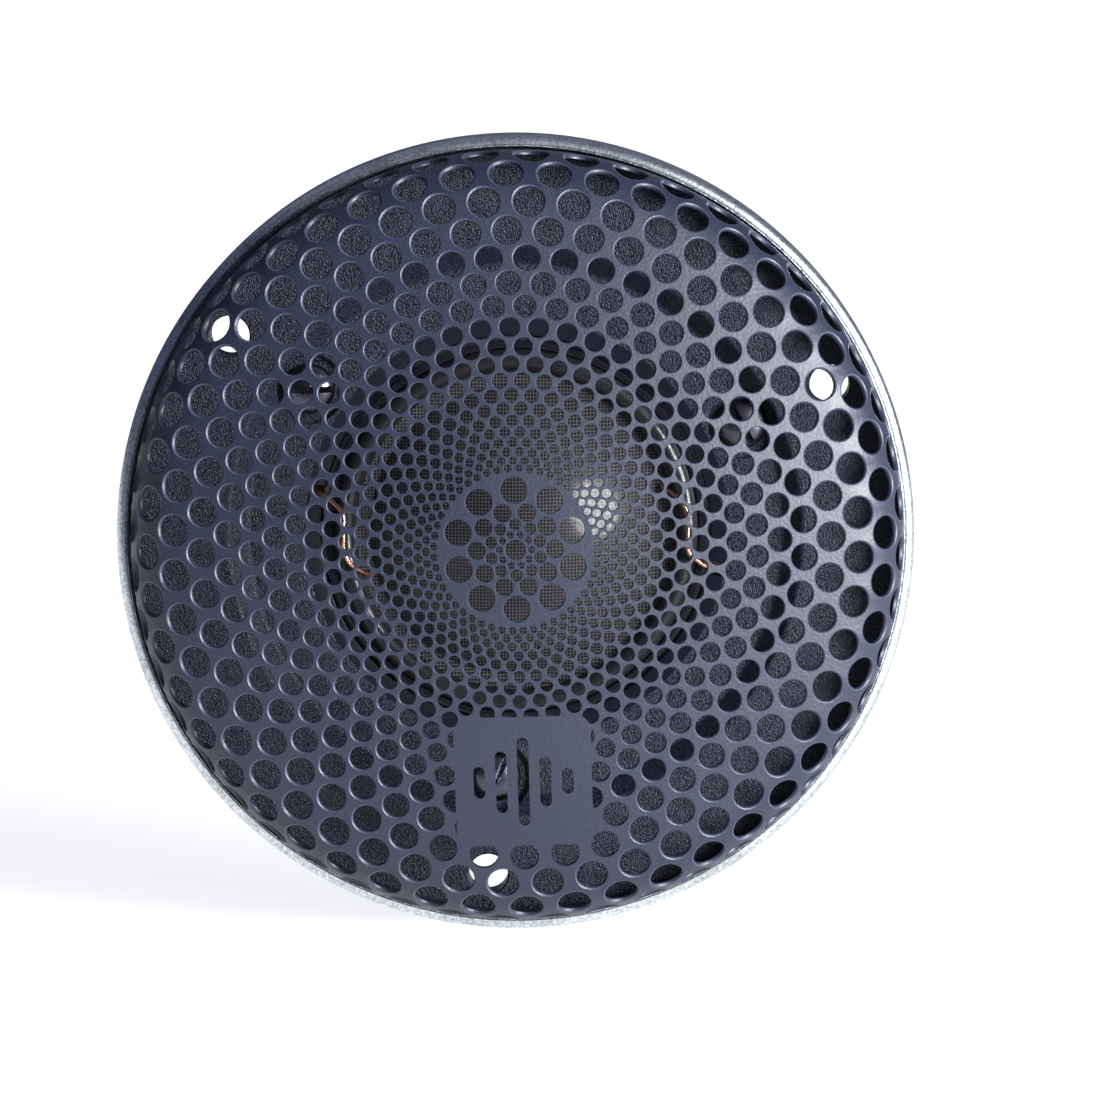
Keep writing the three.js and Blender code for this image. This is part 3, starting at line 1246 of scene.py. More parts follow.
@dataclass
class Grille:
    """Sheet of the grille, pierced in a spiral lattice and pressed into its dome.

    The holes are laid out flat first. Ring by ring they shrink by one ratio towards the middle,
    and each has a lozenge of sheet round it, so that lozenges of all rings fit together. The flat
    sheet is then bent: a shallow sphere, a rounded shoulder and a straight skirt.
    """

    wall: float = 0.4 * MM
    sphere: float = 104 * MM
    shoulder: float = 6.5 * MM
    rings: int = 19
    spokes: int = 48
    first_ring: float = 39.4 * MM
    ratio: float = 0.913
    hole: tuple[float, float] = (0.351, 0.505)
    around: int = 20
    chamfer: float = 1.10
    chamfer_drop: float = 0.07 * MM
    turn: float = 1.6
    badge_middle: tuple[float, float] = (0.12 * MM, -22.4 * MM)
    badge_size: tuple[float, float] = (13.0 * MM, 12.9 * MM)
    badge_corners: tuple[float, float, float, float] = (1.5 * MM, 1.5 * MM, 0.3 * MM, 0.3 * MM)
    badge_window: tuple[float, float] = (8.9 * MM, 9.6 * MM)
    bar_width: float = 1.1 * MM
    bar_pitch: float = 2.1 * MM
    bar_heights: tuple[float, ...] = (3.2 * MM, 6.2 * MM, 8.8 * MM, 5.0 * MM, 2.6 * MM)
    rosette: tuple[tuple[float, float, float], ...] = (
        (1.5 * MM, 0.65 * MM, 18.0), (2.4 * MM, 1.1 * MM, 0.0),
        (3.65 * MM, 1.7 * MM, 18.0), (5.6 * MM, 2.5 * MM, 0.0))
    """Radius of each circle of ten holes round the middle, their diameter, and their offset."""
    rosette_middle: float = 1.9 * MM
    finish: PowderCoat = PowderCoat()

    def flat(self, u: float, v: float) -> tuple[float, float]:
        """Flat position of a lattice position: u steps round the axis, v rings inwards.

        Args:
            u: Steps round the axis.
            v: Rings inwards.

        Returns:
            The position in metres.
        """
        angle = u * 2 * math.pi / self.spokes
        distance = self.first_ring * self.ratio ** v
        return distance * math.cos(angle), distance * math.sin(angle)

    def lozenge(self) -> Outline:
        """Points round the lozenge of sheet that belongs to a hole.

        Returns:
            The points in lattice steps.
        """
        corners = [(0.5, 0.0), (0.0, 1.0), (-0.5, 0.0), (0.0, -1.0), (0.5, 0.0)]
        steps = self.around // 4
        return [(a[0] + (b[0] - a[0]) * i / steps, a[1] + (b[1] - a[1]) * i / steps)
                for a, b in zip(corners, corners[1:]) for i in range(steps)]

    def hole_loop(self, scale: float = 1.0) -> Outline:
        """Points round a hole of the lattice."""
        turns = [2 * math.pi * i / self.around for i in range(self.around)]
        return [(scale * self.hole[0] * math.cos(t), scale * self.hole[1] * math.sin(t)) for t in turns]

    def mark_edges(self, form: bmesh.types.BMesh) -> None:
        """Keeps the flat front and back crisp against the holes, and marks the bevels that get the coat's
        painted rim highlight.

        Args:
            form: The flat sheet, or a cell of it.
        """
        def level(face: bmesh.types.BMFace) -> int:
            """1 for the flat front, -1 for the flat back, 0 between them."""
            heights = [v.co.z for v in face.verts]
            return 1 if min(heights) > -1e-7 else -1 if max(heights) < 1e-7 - self.wall else 0
        for edge in form.edges:
            levels = {level(face) for face in edge.link_faces}
            edge.smooth = len(levels) == 1
        # The bevel mark lets the coat paint a highlight on the hole rims.
        layer = form.faces.layers.float.new(PAINTED_RIM_HIGHLIGHT)
        for face in form.faces:
            deepest = min(v.co.z for v in face.verts)
            face[layer] = float(level(face) == 0 and deepest > -1.3 * self.chamfer_drop)

    def cell(self) -> bpy.types.Object:
        """One hole with its lozenge of sheet, in lattice steps across and metres deep.

        Returns:
            The cell.
        """
        form = bmesh.new()
        outline, top, wall = self.lozenge(), self.hole_loop(self.chamfer), self.hole_loop()
        loft(form, [[(*p, 0.0) for p in outline], [(*p, 0.0) for p in top],
                    [(*p, -self.chamfer_drop) for p in wall], [(*p, -self.wall) for p in wall],
                    [(*p, -self.wall) for p in outline]])
        self.mark_edges(form)
        return piece_from("cell", mesh_of("cell", form))

    def in_window(self, u: float, v: float) -> bool:
        """Whether a lattice position gives way to the badge.

        Args:
            u: Steps round the axis.
            v: Rings inwards.

        Returns:
            True where the badge's plate takes over.
        """
        x, y = self.flat(u, v)
        return abs(x - self.badge_middle[0]) < self.badge_window[0] and \
            abs(y - self.badge_middle[1]) < self.badge_window[1]

    def badge_loops(self) -> list[tuple[Region, Outline]]:
        """Loops of the sheet round the badge: lozenges, holes, the plain pad and its bars.

        Returns:
            The loops, with what each stands for.
        """
        loops = []
        for ring in range(self.rings):
            for step in range(self.spokes):
                u, v = step + 0.5 * ((ring + 1) % 2), float(ring)
                if self.in_window(u, v):
                    loops.append((Region.SHEET, [self.flat(u + a, v + b) for a, b in self.lozenge()]))
                    loops.append((Region.HOLE, [self.flat(u + a, v + b) for a, b in self.hole_loop()]))
        x, y = self.badge_middle
        loops.append((Region.PAD, rounded_box(x, y, *self.badge_size, self.badge_corners)))
        first = x - self.bar_pitch * (len(self.bar_heights) - 1) / 2
        for i, height in enumerate(self.bar_heights):
            bar = rounded_box(first + i * self.bar_pitch, y, self.bar_width, height,
                              (self.bar_width * 0.499,) * 4)
            loops.append((Region.OPENING, bar))
        return loops

    def rosette_loops(self) -> list[tuple[Region, Outline]]:
        """Loops of the sheet inside the last ring, with its flower of holes.

        Returns:
            The loops, with what each stands for.
        """
        steps = self.around // 4
        rim = []
        for i in range(self.spokes * 2 * steps):
            along = i / (2 * steps)
            rim.append(self.flat(along, self.rings - 1 + 1 - abs(2 * (along % 1.0) - 1)))
        loops = [(Region.SHEET, rim), (Region.OPENING, circle_of(0, 0, self.rosette_middle / 2, 28))]
        for radius, width, offset in self.rosette:
            for k in range(10):
                angle = math.radians(90 + offset + 36 * k)
                count = 12 + 4 * round(width / MM * 2)
                loops.append((Region.OPENING, circle_of(
                    radius * math.cos(angle), radius * math.sin(angle), width / 2, count)))
        return loops

    def plate(self, form: bmesh.types.BMesh, loops: Sequence[tuple[Region, Outline]],
              bevel: float) -> None:
        """Adds a flat plate with bevelled holes, open where it meets the rest of the sheet.

        Args:
            form: Where the plate is added.
            loops: Loops on the flat sheet, with what each stands for.
            bevel: Width of the bevel at the front of each hole.
        """
        points, faces = [], []
        for _, outline in loops:
            faces.append(list(range(len(points), len(points) + len(outline))))
            points += [Vector((x / MM, y / MM)) for x, y in outline]
        places, _, triangles, _, _, origins = geometry.delaunay_2d_cdt(points, [], faces, 0, 1e-5, True)
        kinds = [{loops[i][0] for i in origin} for origin in origins]
        beside: dict[tuple[int, int], int] = {}
        for n, corners in enumerate(triangles):
            for a, b in zip(corners, corners[1:] + corners[:1]):
                beside[a, b] = n

        def solid(kind: set[Region]) -> bool:
            """Whether a triangle of these loops is sheet."""
            held = Region.HOLE not in kind or Region.PAD in kind
            return Region.SHEET in kind and held and Region.OPENING not in kind

        rows: list[dict[int, bmesh.types.BMVert]] = [{}, {}]

        def at(row: int, i: int) -> bmesh.types.BMVert:
            """The vertex of a point, on the front (row 0) or on the back.

            Args:
                row: 0 for the front, 1 for the back.
                i: Number of the point.

            Returns:
                The vertex.
            """
            if i not in rows[row]:
                height = -self.wall * row
                rows[row][i] = form.verts.new((places[i][0] * MM, places[i][1] * MM, height))
            return rows[row][i]

        rims = []
        for corners, kind in zip(triangles, kinds):
            if not solid(kind):
                continue
            form.faces.new([at(0, i) for i in corners])
            form.faces.new([at(1, i) for i in reversed(corners)])
            for a, b in zip(corners, corners[1:] + corners[:1]):
                other = beside.get((b, a))
                if other is not None and Region.SHEET in kinds[other] and not solid(kinds[other]):
                    form.faces.new((at(0, b), at(0, a), at(1, a), at(1, b)))
                    rims.append(form.edges.get((at(0, a), at(0, b))))
        bmesh.ops.bevel(form, geom=rims, offset=bevel, offset_type="OFFSET", segments=1,
                        profile=0.5, affect="EDGES", clamp_overlap=True)

    def skirt(self, form: bmesh.types.BMesh) -> None:
        """Adds the plain edge of the sheet outside the first ring.

        Args:
            form: The flat sheet.
        """
        steps = self.around // 4
        count = self.spokes * 2 * steps
        end = self.flat_end()

        def loop(share: float, inset: float, depth: float) -> list[tuple[float, float, float]]:
            """Points between the first ring and the end of the skirt.

            Args:
                share: How far towards the end, from 0 to 1.
                inset: How far short of the end.
                depth: Depth below the flat front.

            Returns:
                The points.
            """
            points = []
            for i in range(count):
                along = i / (2 * steps)
                x, y = self.flat(along, abs(2 * (along % 1.0) - 1) - 1)
                start = math.hypot(x, y)
                stretch = (start + (end - inset - start) * share) / start
                points.append((x * stretch, y * stretch, -depth))
            return points

        w = self.wall
        loft(form, [loop(0, 0, w), loop(0.35, 0, w), loop(0.7, 0, w), loop(1, 0.15 * MM, w),
                    loop(1, 0.04 * MM, w - 0.04 * MM), loop(1, 0, w - 0.15 * MM),
                    loop(1, 0, 0.15 * MM), loop(1, 0.04 * MM, 0.04 * MM), loop(1, 0.15 * MM, 0),
                    loop(0.7, 0, 0), loop(0.35, 0, 0), loop(0, 0, 0)])

    def bends(self) -> tuple[float, float, float, Reach]:
        """Angle where the sphere meets the shoulder, the sheet's lengths there and at the skirt.

        Returns:
            The angle, the two lengths from the middle, and the reach of the node.
        """
        reach = Reach.of("grille")
        meet = math.asin((reach.radius - self.shoulder) / (self.sphere - self.shoulder))
        first = self.sphere * meet
        return meet, first, first + self.shoulder * (math.pi / 2 - meet), reach

    def flat_end(self) -> float:
        """Length of the flat sheet from the middle to the end of the skirt.

        Returns:
            The length.
        """
        meet, _, second, reach = self.bends()
        lowest = reach.front + self.sphere * (1 - math.cos(meet)) + self.shoulder * math.cos(meet)
        return second + reach.rear - lowest

    def helpers(self) -> bpy.types.Mesh:
        """The parts of the flat sheet that aren't plain lattice.

        Returns:
            The flat mesh.
        """
        form = bmesh.new()
        self.plate(form, self.badge_loops(), 0.1 * MM)
        self.plate(form, self.rosette_loops(), 0.06 * MM)
        self.skirt(form)
        self.mark_edges(form)
        return mesh_of("sheet", form)

    def lattice(self, g: Tree, cell: bpy.types.Object) -> bpy.types.NodeSocket:
        """Sets the cell at every position of the lattice and lays the rings out flat.

        Args:
            g: The tree that it is added to.
            cell: The object that is set at each position.

        Returns:
            The flat lattice.
        """
        rings, spokes = g.whole("Rings", self.rings), g.whole("Holes per Ring", self.spokes)
        first, ratio = g.number("First Ring", self.first_ring), g.number("Ring Ratio", self.ratio)
        window = [g.number("Window Width", self.badge_window[0]),
                  g.number("Window Height", self.badge_window[1])]
        index = Term(g.tree, g.node("InputIndex").outputs[0])
        ring = ((index + 0.5) / spokes).floor()
        u = index - ring * spokes + 0.5 * (ring + 1).math("MODULO", ring + 1, 2.0)
        step = 2 * math.pi / self.spokes
        distance = ring.raised(ratio) * first
        x = distance * (u * step).cosine() - self.badge_middle[0]
        y = distance * (u * step).sine() - self.badge_middle[1]
        keep = x.size().above(window[0]).most(y.size().above(window[1]))
        points = g.node("Points", {"Count": rings * spokes, "Position": join(g.tree, u, ring, 0.0)})
        kept = g.node("ObjectInfo", {"Object": g.socket("Cell", "Object", cell)})
        cells = g.node("InstanceOnPoints", {"Points": points.outputs[0], "Selection": keep,
                                            "Instance": kept.outputs["Geometry"]})
        real = g.node("RealizeInstances", {"Geometry": cells.outputs[0]})
        around, inwards, depth = split(g.tree, g.node("InputPosition").outputs[0])
        length = inwards.raised(ratio) * first
        place = join(g.tree, length * (around * step).cosine(), length * (around * step).sine(), depth)
        laid = g.node("SetPosition", {"Geometry": real.outputs[0], "Position": place})
        return laid.outputs[0]

    def pressed(self, g: Tree, flat: bpy.types.NodeSocket) -> bpy.types.NodeSocket:
        """Bends the flat sheet into the grille's dome, shoulder and skirt.

        Args:
            g: The tree that it is added to.
            flat: The flat sheet.

        Returns:
            The bent sheet.
        """
        meet, first, second, reach = self.bends()
        turn, radius = math.radians(self.turn), g.number("Shoulder Radius", self.shoulder)
        x, y, depth = split(g.tree, g.node("InputPosition").outputs[0])
        along = (x * x + y * y).root().most(1e-9)
        sphere = g.number("Sphere Radius", self.sphere)
        start = along.least(first) / sphere
        slope = start + (along - first).most(0.0).least(second - first) / radius
        out = sphere * start.sine() + radius * (slope.sine() - start.sine()) + depth * slope.sine()
        back = sphere * (1.0 - start.cosine()) + radius * (start.cosine() - slope.cosine())
        back = back + (along - second).most(0.0) + reach.front - depth * slope.cosine()
        across = (x * math.cos(turn) - y * math.sin(turn)) / along
        upward = (x * math.sin(turn) + y * math.cos(turn)) / along
        place = join(g.tree, out * across + reach.middle, back, out * upward)
        return g.node("SetPosition", {"Geometry": flat, "Position": place}).outputs[0]

    def build(self, shop: Workshop) -> bpy.types.Object:
        """Makes the grille.

        Args:
            shop: Where pieces are dressed and fitted.

        Returns:
            The grille.
        """
        cell = self.cell()
        g = Tree("pierced sheet")
        flat = g.joined(self.lattice(g, cell), g.entry.outputs["Geometry"])
        dome = self.pressed(g, flat)
        weld = g.node("MergeByDistance", {"Geometry": dome, "Distance": g.number("Weld", 2e-6)})
        smooth = g.node("SetShadeSmooth", {"Geometry": weld.outputs[0]})
        coat = shop.finish(self.finish)
        made = g.run("grille_sheet", smooth.outputs[0], coat, self.helpers())
        bpy.data.objects.remove(cell)
        return shop.fit(made, Body.GRILLE, self.finish, ["grille"])


# ---- flange -------------------------------------------------------------------------


@dataclass
class RimRing:
    """Turned metal ring with a rounded brow round the edge of the face plate, and a lip behind."""

    inner: float = 37.0 * MM
    lip_inner: float = 35.5 * MM
    lip_front: float = -1.2 * MM
    brow: float = 0.82 * MM
    rounding: float = 0.12 * MM
    finish: TurnedMetal = TurnedMetal("rim metal", (0.80, 0.83, 0.86), (0.36, 0.40, 0.41),
                                      (0.26, 0.36), sparkle=0.012 * MM)

    def build(self, shop: Workshop) -> bpy.types.Object:
        """Makes the ring and fits it to the frame.

        Args:
            shop: Where pieces are dressed and fitted.

        Returns:
            The ring.
        """
        reach = Reach.of("rim_ring")
        foot = softened([(reach.radius, reach.rear), (self.lip_inner, reach.rear),
                         (self.lip_inner, self.lip_front), (self.inner, self.lip_front),
                         (self.inner, reach.front)], self.rounding)
        brow = arc((reach.radius - self.brow, reach.front + self.brow), self.brow, -90, 0, 12)
        ring = turned("rim_band", foot + brow, 288)
        return shop.fit(ring, Body.FRAME, self.finish, ["rim_ring"])


@dataclass
class FacePlate:
    """Moulded plate behind the grille, stepped, with its holes, pockets and channels."""

    outer_front: float = -4.0 * MM
    inner_front: float = -2.2 * MM
    step: tuple[float, float] = (25.6 * MM, 27.4 * MM)
    bore: float = 18.6 * MM
    bore_bevel: tuple[float, float] = (20.4 * MM, -1.85 * MM)
    rebate: tuple[float, float] = (35.2 * MM, -1.5 * MM)
    mount_circle: float = 33.1 * MM
    mount_radius: float = 1.9 * MM
    pocket_radius: float = 3.25 * MM
    pocket_floor: float = -1.5 * MM
    channel: tuple[float, float, float] = (30.6 * MM, 4.4 * MM, -1.1 * MM)
    notch: tuple[float, float, float] = (18.0 * MM, 20.1 * MM, 1.3 * MM)
    flare: float = 0.16 * MM
    cut_front: float = -30 * MM
    finish: GrainedPlastic = GrainedPlastic(
        "face plastic", plain=((18.0 * MM, 20.4 * MM),))

    def outline(self) -> Outline:
        """Cross-section of the plate.

        Returns:
            The outline.
        """
        reach = Reach.of("face_plate")
        bevel_radius, bevel_front = self.bore_bevel
        return softened([
            (self.bore, bevel_front), (bevel_radius, self.inner_front), (self.step[0], self.inner_front),
            (self.step[1], self.outer_front), (reach.radius, self.outer_front),
            (reach.radius, self.rebate[1]), (self.rebate[0], self.rebate[1]),
            (self.rebate[0], reach.rear), (self.bore, reach.rear)], 0.25 * MM)

    def flared(self, circle: float, degrees: float, radius: float, mouth: float,
               floor: float) -> bpy.types.Object:
        """A cutter with a flared mouth, so that the hole's edge is bevelled.

        Args:
            circle: Radius of the circle that it stands on.
            degrees: Angle round the axis.
            radius: Radius of the hole.
            mouth: Plane of the hole's mouth.
            floor: Plane where the cutter ends.

        Returns:
            The cutter.
        """
        wide = radius + self.flare
        cutter = turned("cutter", [(0, self.cut_front), (wide, self.cut_front), (wide, mouth),
                                   (radius, mouth + self.flare), (radius, floor), (0, floor)], 48)
        turn = math.radians(degrees)
        cutter.data.transform(Matrix.Translation((circle * math.cos(turn), 0, circle * math.sin(turn))))
        return cutter

    def build(self, shop: Workshop) -> bpy.types.Object:
        """Makes the plate and fits it to the frame.

        Args:
            shop: Where pieces are dressed and fitted.

        Returns:
            The plate.
        """
        plate = turned("face_plate_moulding", self.outline(), 240)
        cutters = []
        for a in THIRDS:
            cutters.append(self.flared(self.mount_circle, a, self.mount_radius, self.outer_front,
                                       PLATE_CUT))
            cutters.append(self.flared(FACE_SCREW_CIRCLE, a, self.pocket_radius, self.inner_front,
                                       self.pocket_floor))
            cutters.append(rod(FACE_SCREW_CIRCLE, a, FACE_SCREW_HOLE, -PLATE_CUT, PLATE_CUT))
        for a in CONTACTS.values():
            end, width, front = self.channel
            cutters.append(slab(a, 0.0, end, width, front, PLATE_CUT))
            start, end, width = self.notch
            cutters.append(slab(a, start, end, width, -PLATE_CUT, PLATE_CUT))
        combine(plate, cutters)
        return shop.fit(plate, Body.FRAME, self.finish, ["face_plate"])


# ---- screws -------------------------------------------------------------------------


@dataclass
class Screws:
    """Three slotted screws with rounded heads, one mesh set at three places by nodes."""

    name: str
    nodes: tuple[str, str, str]
    circle: float
    first_angle: float
    seat: float
    facing: float
    head: float
    rise: float
    shank: float
    length: float
    slot: float
    slot_depth: float = 0.4
    slot_turn: float = 35.0
    pitch: float = 0.5 * MM
    thread: float = 0.14 * MM
    finish: TurnedMetal = TurnedMetal("screw steel", (0.20, 0.20, 0.24), (0.15, 0.15, 0.19),
                                      (0.24, 0.32), 0.4 * MM, 0.0003 * MM)

    def one(self) -> bpy.types.Object:
        """One screw at the origin, its head's seat in the plane of y 0 and its slot along X.

        Returns:
            The screw.
        """
        f = self.facing
        crown = [(0.0, 1.0), (0.2, 0.992), (0.38, 0.965), (0.55, 0.915), (0.7, 0.835), (0.82, 0.73),
                 (0.91, 0.6), (0.97, 0.45), (1.0, 0.28), (1.0, 0.08), (0.965, 0.0)]
        outline = [(r * self.head, f * h * self.rise) for r, h in crown]
        y = 0.25 * MM
        outline.append((self.shank, 0.0))
        while y + self.pitch < self.length - self.shank * 0.5:
            outline += [(self.shank, -f * y), (self.shank - self.thread, -f * (y + self.pitch * 0.4)),
                        (self.shank, -f * (y + self.pitch * 0.85))]
            y += self.pitch
        outline += [(self.shank * 0.55, -f * self.length), (0.0, -f * self.length)]
        screw = turned("screw", outline, 72)
        depth = self.rise * self.slot_depth
        combine(screw, [block("groove", Matrix.Translation((0, f * self.rise, 0))
                              @ Matrix.Diagonal((self.head * 3, depth * 2, self.slot, 1)))])
        return edged(screw, 0.05 * MM)

    def build(self, shop: Workshop) -> bpy.types.Object:
        """Makes the three screws as one piece and fits them to the frame.

        Args:
            shop: Where pieces are dressed and fitted.

        Returns:
            The three screws.
        """
        g = Tree("screws of the " + self.name)
        count = g.whole("Count", len(self.nodes))
        circle, seat = g.number("Circle Radius", self.circle), g.number("Seat", self.seat)
        first = g.number("First Angle", math.radians(self.first_angle))
        index = Term(g.tree, g.node("InputIndex").outputs[0])
        angle = index * (2 * math.pi) / count + first
        place = join(g.tree, angle.cosine() * circle, seat, angle.sine() * circle)
        points = g.node("Points", {"Count": count, "Position": place})
        screw = self.one()
        source = g.node("ObjectInfo", {"Object": g.socket("Screw", "Object", screw)})
        spin = join(g.tree, 0.0, angle + math.radians(self.slot_turn), 0.0)
        turn = g.tree.nodes.new("FunctionNodeEulerToRotation")
        g.tree.links.new(spin, turn.inputs[0])
        set_of = g.node("InstanceOnPoints", {
            "Points": points.outputs[0], "Instance": source.outputs["Geometry"],
            "Rotation": turn.outputs[0]})
        made = g.run(self.name, set_of.outputs[0], shop.finish(self.finish))
        bpy.data.objects.remove(screw)
        return shop.fit(made, Body.FRAME, self.finish, self.nodes)


# ---- diaphragm ----------------------------------------------------------------------


@dataclass
class Diaphragm:
    """Dome, coil former and winding, which move together."""

    radius: float = 13.7 * MM
    base: float = -2.3 * MM
    rise: float = 6.0 * MM
    skin: float = 0.35 * MM
    groove: tuple[float, float, float] = (14.0 * MM, 14.9 * MM, -1.9 * MM)
    edge: float = 15.3 * MM
    former: tuple[float, float] = (13.8 * MM, 14.05 * MM)
    winding: tuple[float, float, float, float] = (14.1 * MM, 14.45 * MM, 0.7 * MM, 3.9 * MM)
    # The second colour is the painted shade between the threads.
    cloth: WovenCloth = WovenCloth("dome cloth", (0.085, 0.081, 0.088), (0.002, 0.002, 0.005))
    film: CoilFilm = CoilFilm()
    wire: Copper = Copper("enamelled wire", (0.70, 0.27, 0.12), (0.45, 0.15, 0.07))

    def cap(self, inset: float, steps: int = 30) -> Outline:
        """Outline of the dome's cap from the axis outwards, its skin this far in.

        Args:
            inset: How far inside the outer skin.
            steps: Facets from the axis to the edge.

        Returns:
            The outline.
        """
        radius = (self.radius ** 2 + self.rise ** 2) / (2 * self.rise)
        half = math.degrees(math.asin(self.radius / radius))
        points = arc((0.0, self.base - self.rise + radius), radius - inset, -90, half - 90, steps)
        return [(0.0, points[0][1])] + points[1:]

    def dome(self, shop: Workshop) -> None:
        """Makes the dome with the groove that the former sits in.

        Args:
            shop: Where pieces are dressed and fitted.
        """
        start, end, floor = self.groove
        outline = self.cap(0.0) + [
            (start, floor), (end, floor), (self.edge, self.base), (self.edge, self.base + self.skin),
            (end, floor + self.skin), (start - self.skin, floor + self.skin),
        ] + self.cap(self.skin)[::-1]
        shop.fit(turned("dome_cloth", outline), Body.DIAPHRAGM, self.cloth, ["dome"])

    def coil(self, shop: Workshop) -> None:
        """Makes the former and the two layers of wire wound on it.

        Args:
            shop: Where pieces are dressed and fitted.
        """
        reach = Reach.of("coil_former")
        ring = ring_outline(*self.former, reach.front, reach.rear)
        shop.fit(turned("former_tube", ring, rounding=0.05 * MM), Body.DIAPHRAGM,
                 self.film, ["coil_former"])
        inner, outer, front, rear = self.winding
        gauge = (outer - inner) / 2
        g = Tree("winding")
        wire = g.number("Wire Radius", gauge * 0.49)
        first = g.number("Inner Radius", inner + gauge / 2)
        pitch = g.number("Layer Pitch", gauge)
        turns = g.number("Turns", math.floor((rear - front) / gauge) - 1)
        length = g.number("Winding Length", rear - front - gauge)
        profile = g.node("CurvePrimitiveCircle", {"Resolution": 6, "Radius": wire})
        layers = []
        for layer in range(2):
            radius = first + pitch * layer
            coil = g.node("CurveSpiral", {
                "Resolution": 72, "Rotations": turns, "Start Radius": radius, "End Radius": radius,
                "Height": length})
            wound = g.node("CurveToMesh", {"Curve": coil.outputs[0], "Profile Curve": profile.outputs[0],
                                           "Fill Caps": True})
            layers.append(wound.outputs[0])
        place = join(g.tree, 0.0, rear - gauge / 2, 0.0)
        turn = g.tree.nodes.new("FunctionNodeEulerToRotation")
        turn.inputs[0].default_value = (math.pi / 2, 0, 0)
        stood = g.node("Transform", {"Geometry": g.joined(*layers), "Translation": place,
                                     "Rotation": turn.outputs[0]})
        smooth = g.node("SetShadeSmooth", {"Geometry": stood.outputs[0]})
        made = g.run("coil_wire", smooth.outputs[0], shop.finish(self.wire))
        shop.fit(made, Body.DIAPHRAGM, self.wire, ["coil_winding"])

    def build(self, shop: Workshop) -> None:
        """Makes all moving pieces."""
        self.dome(shop)
        self.coil(shop)


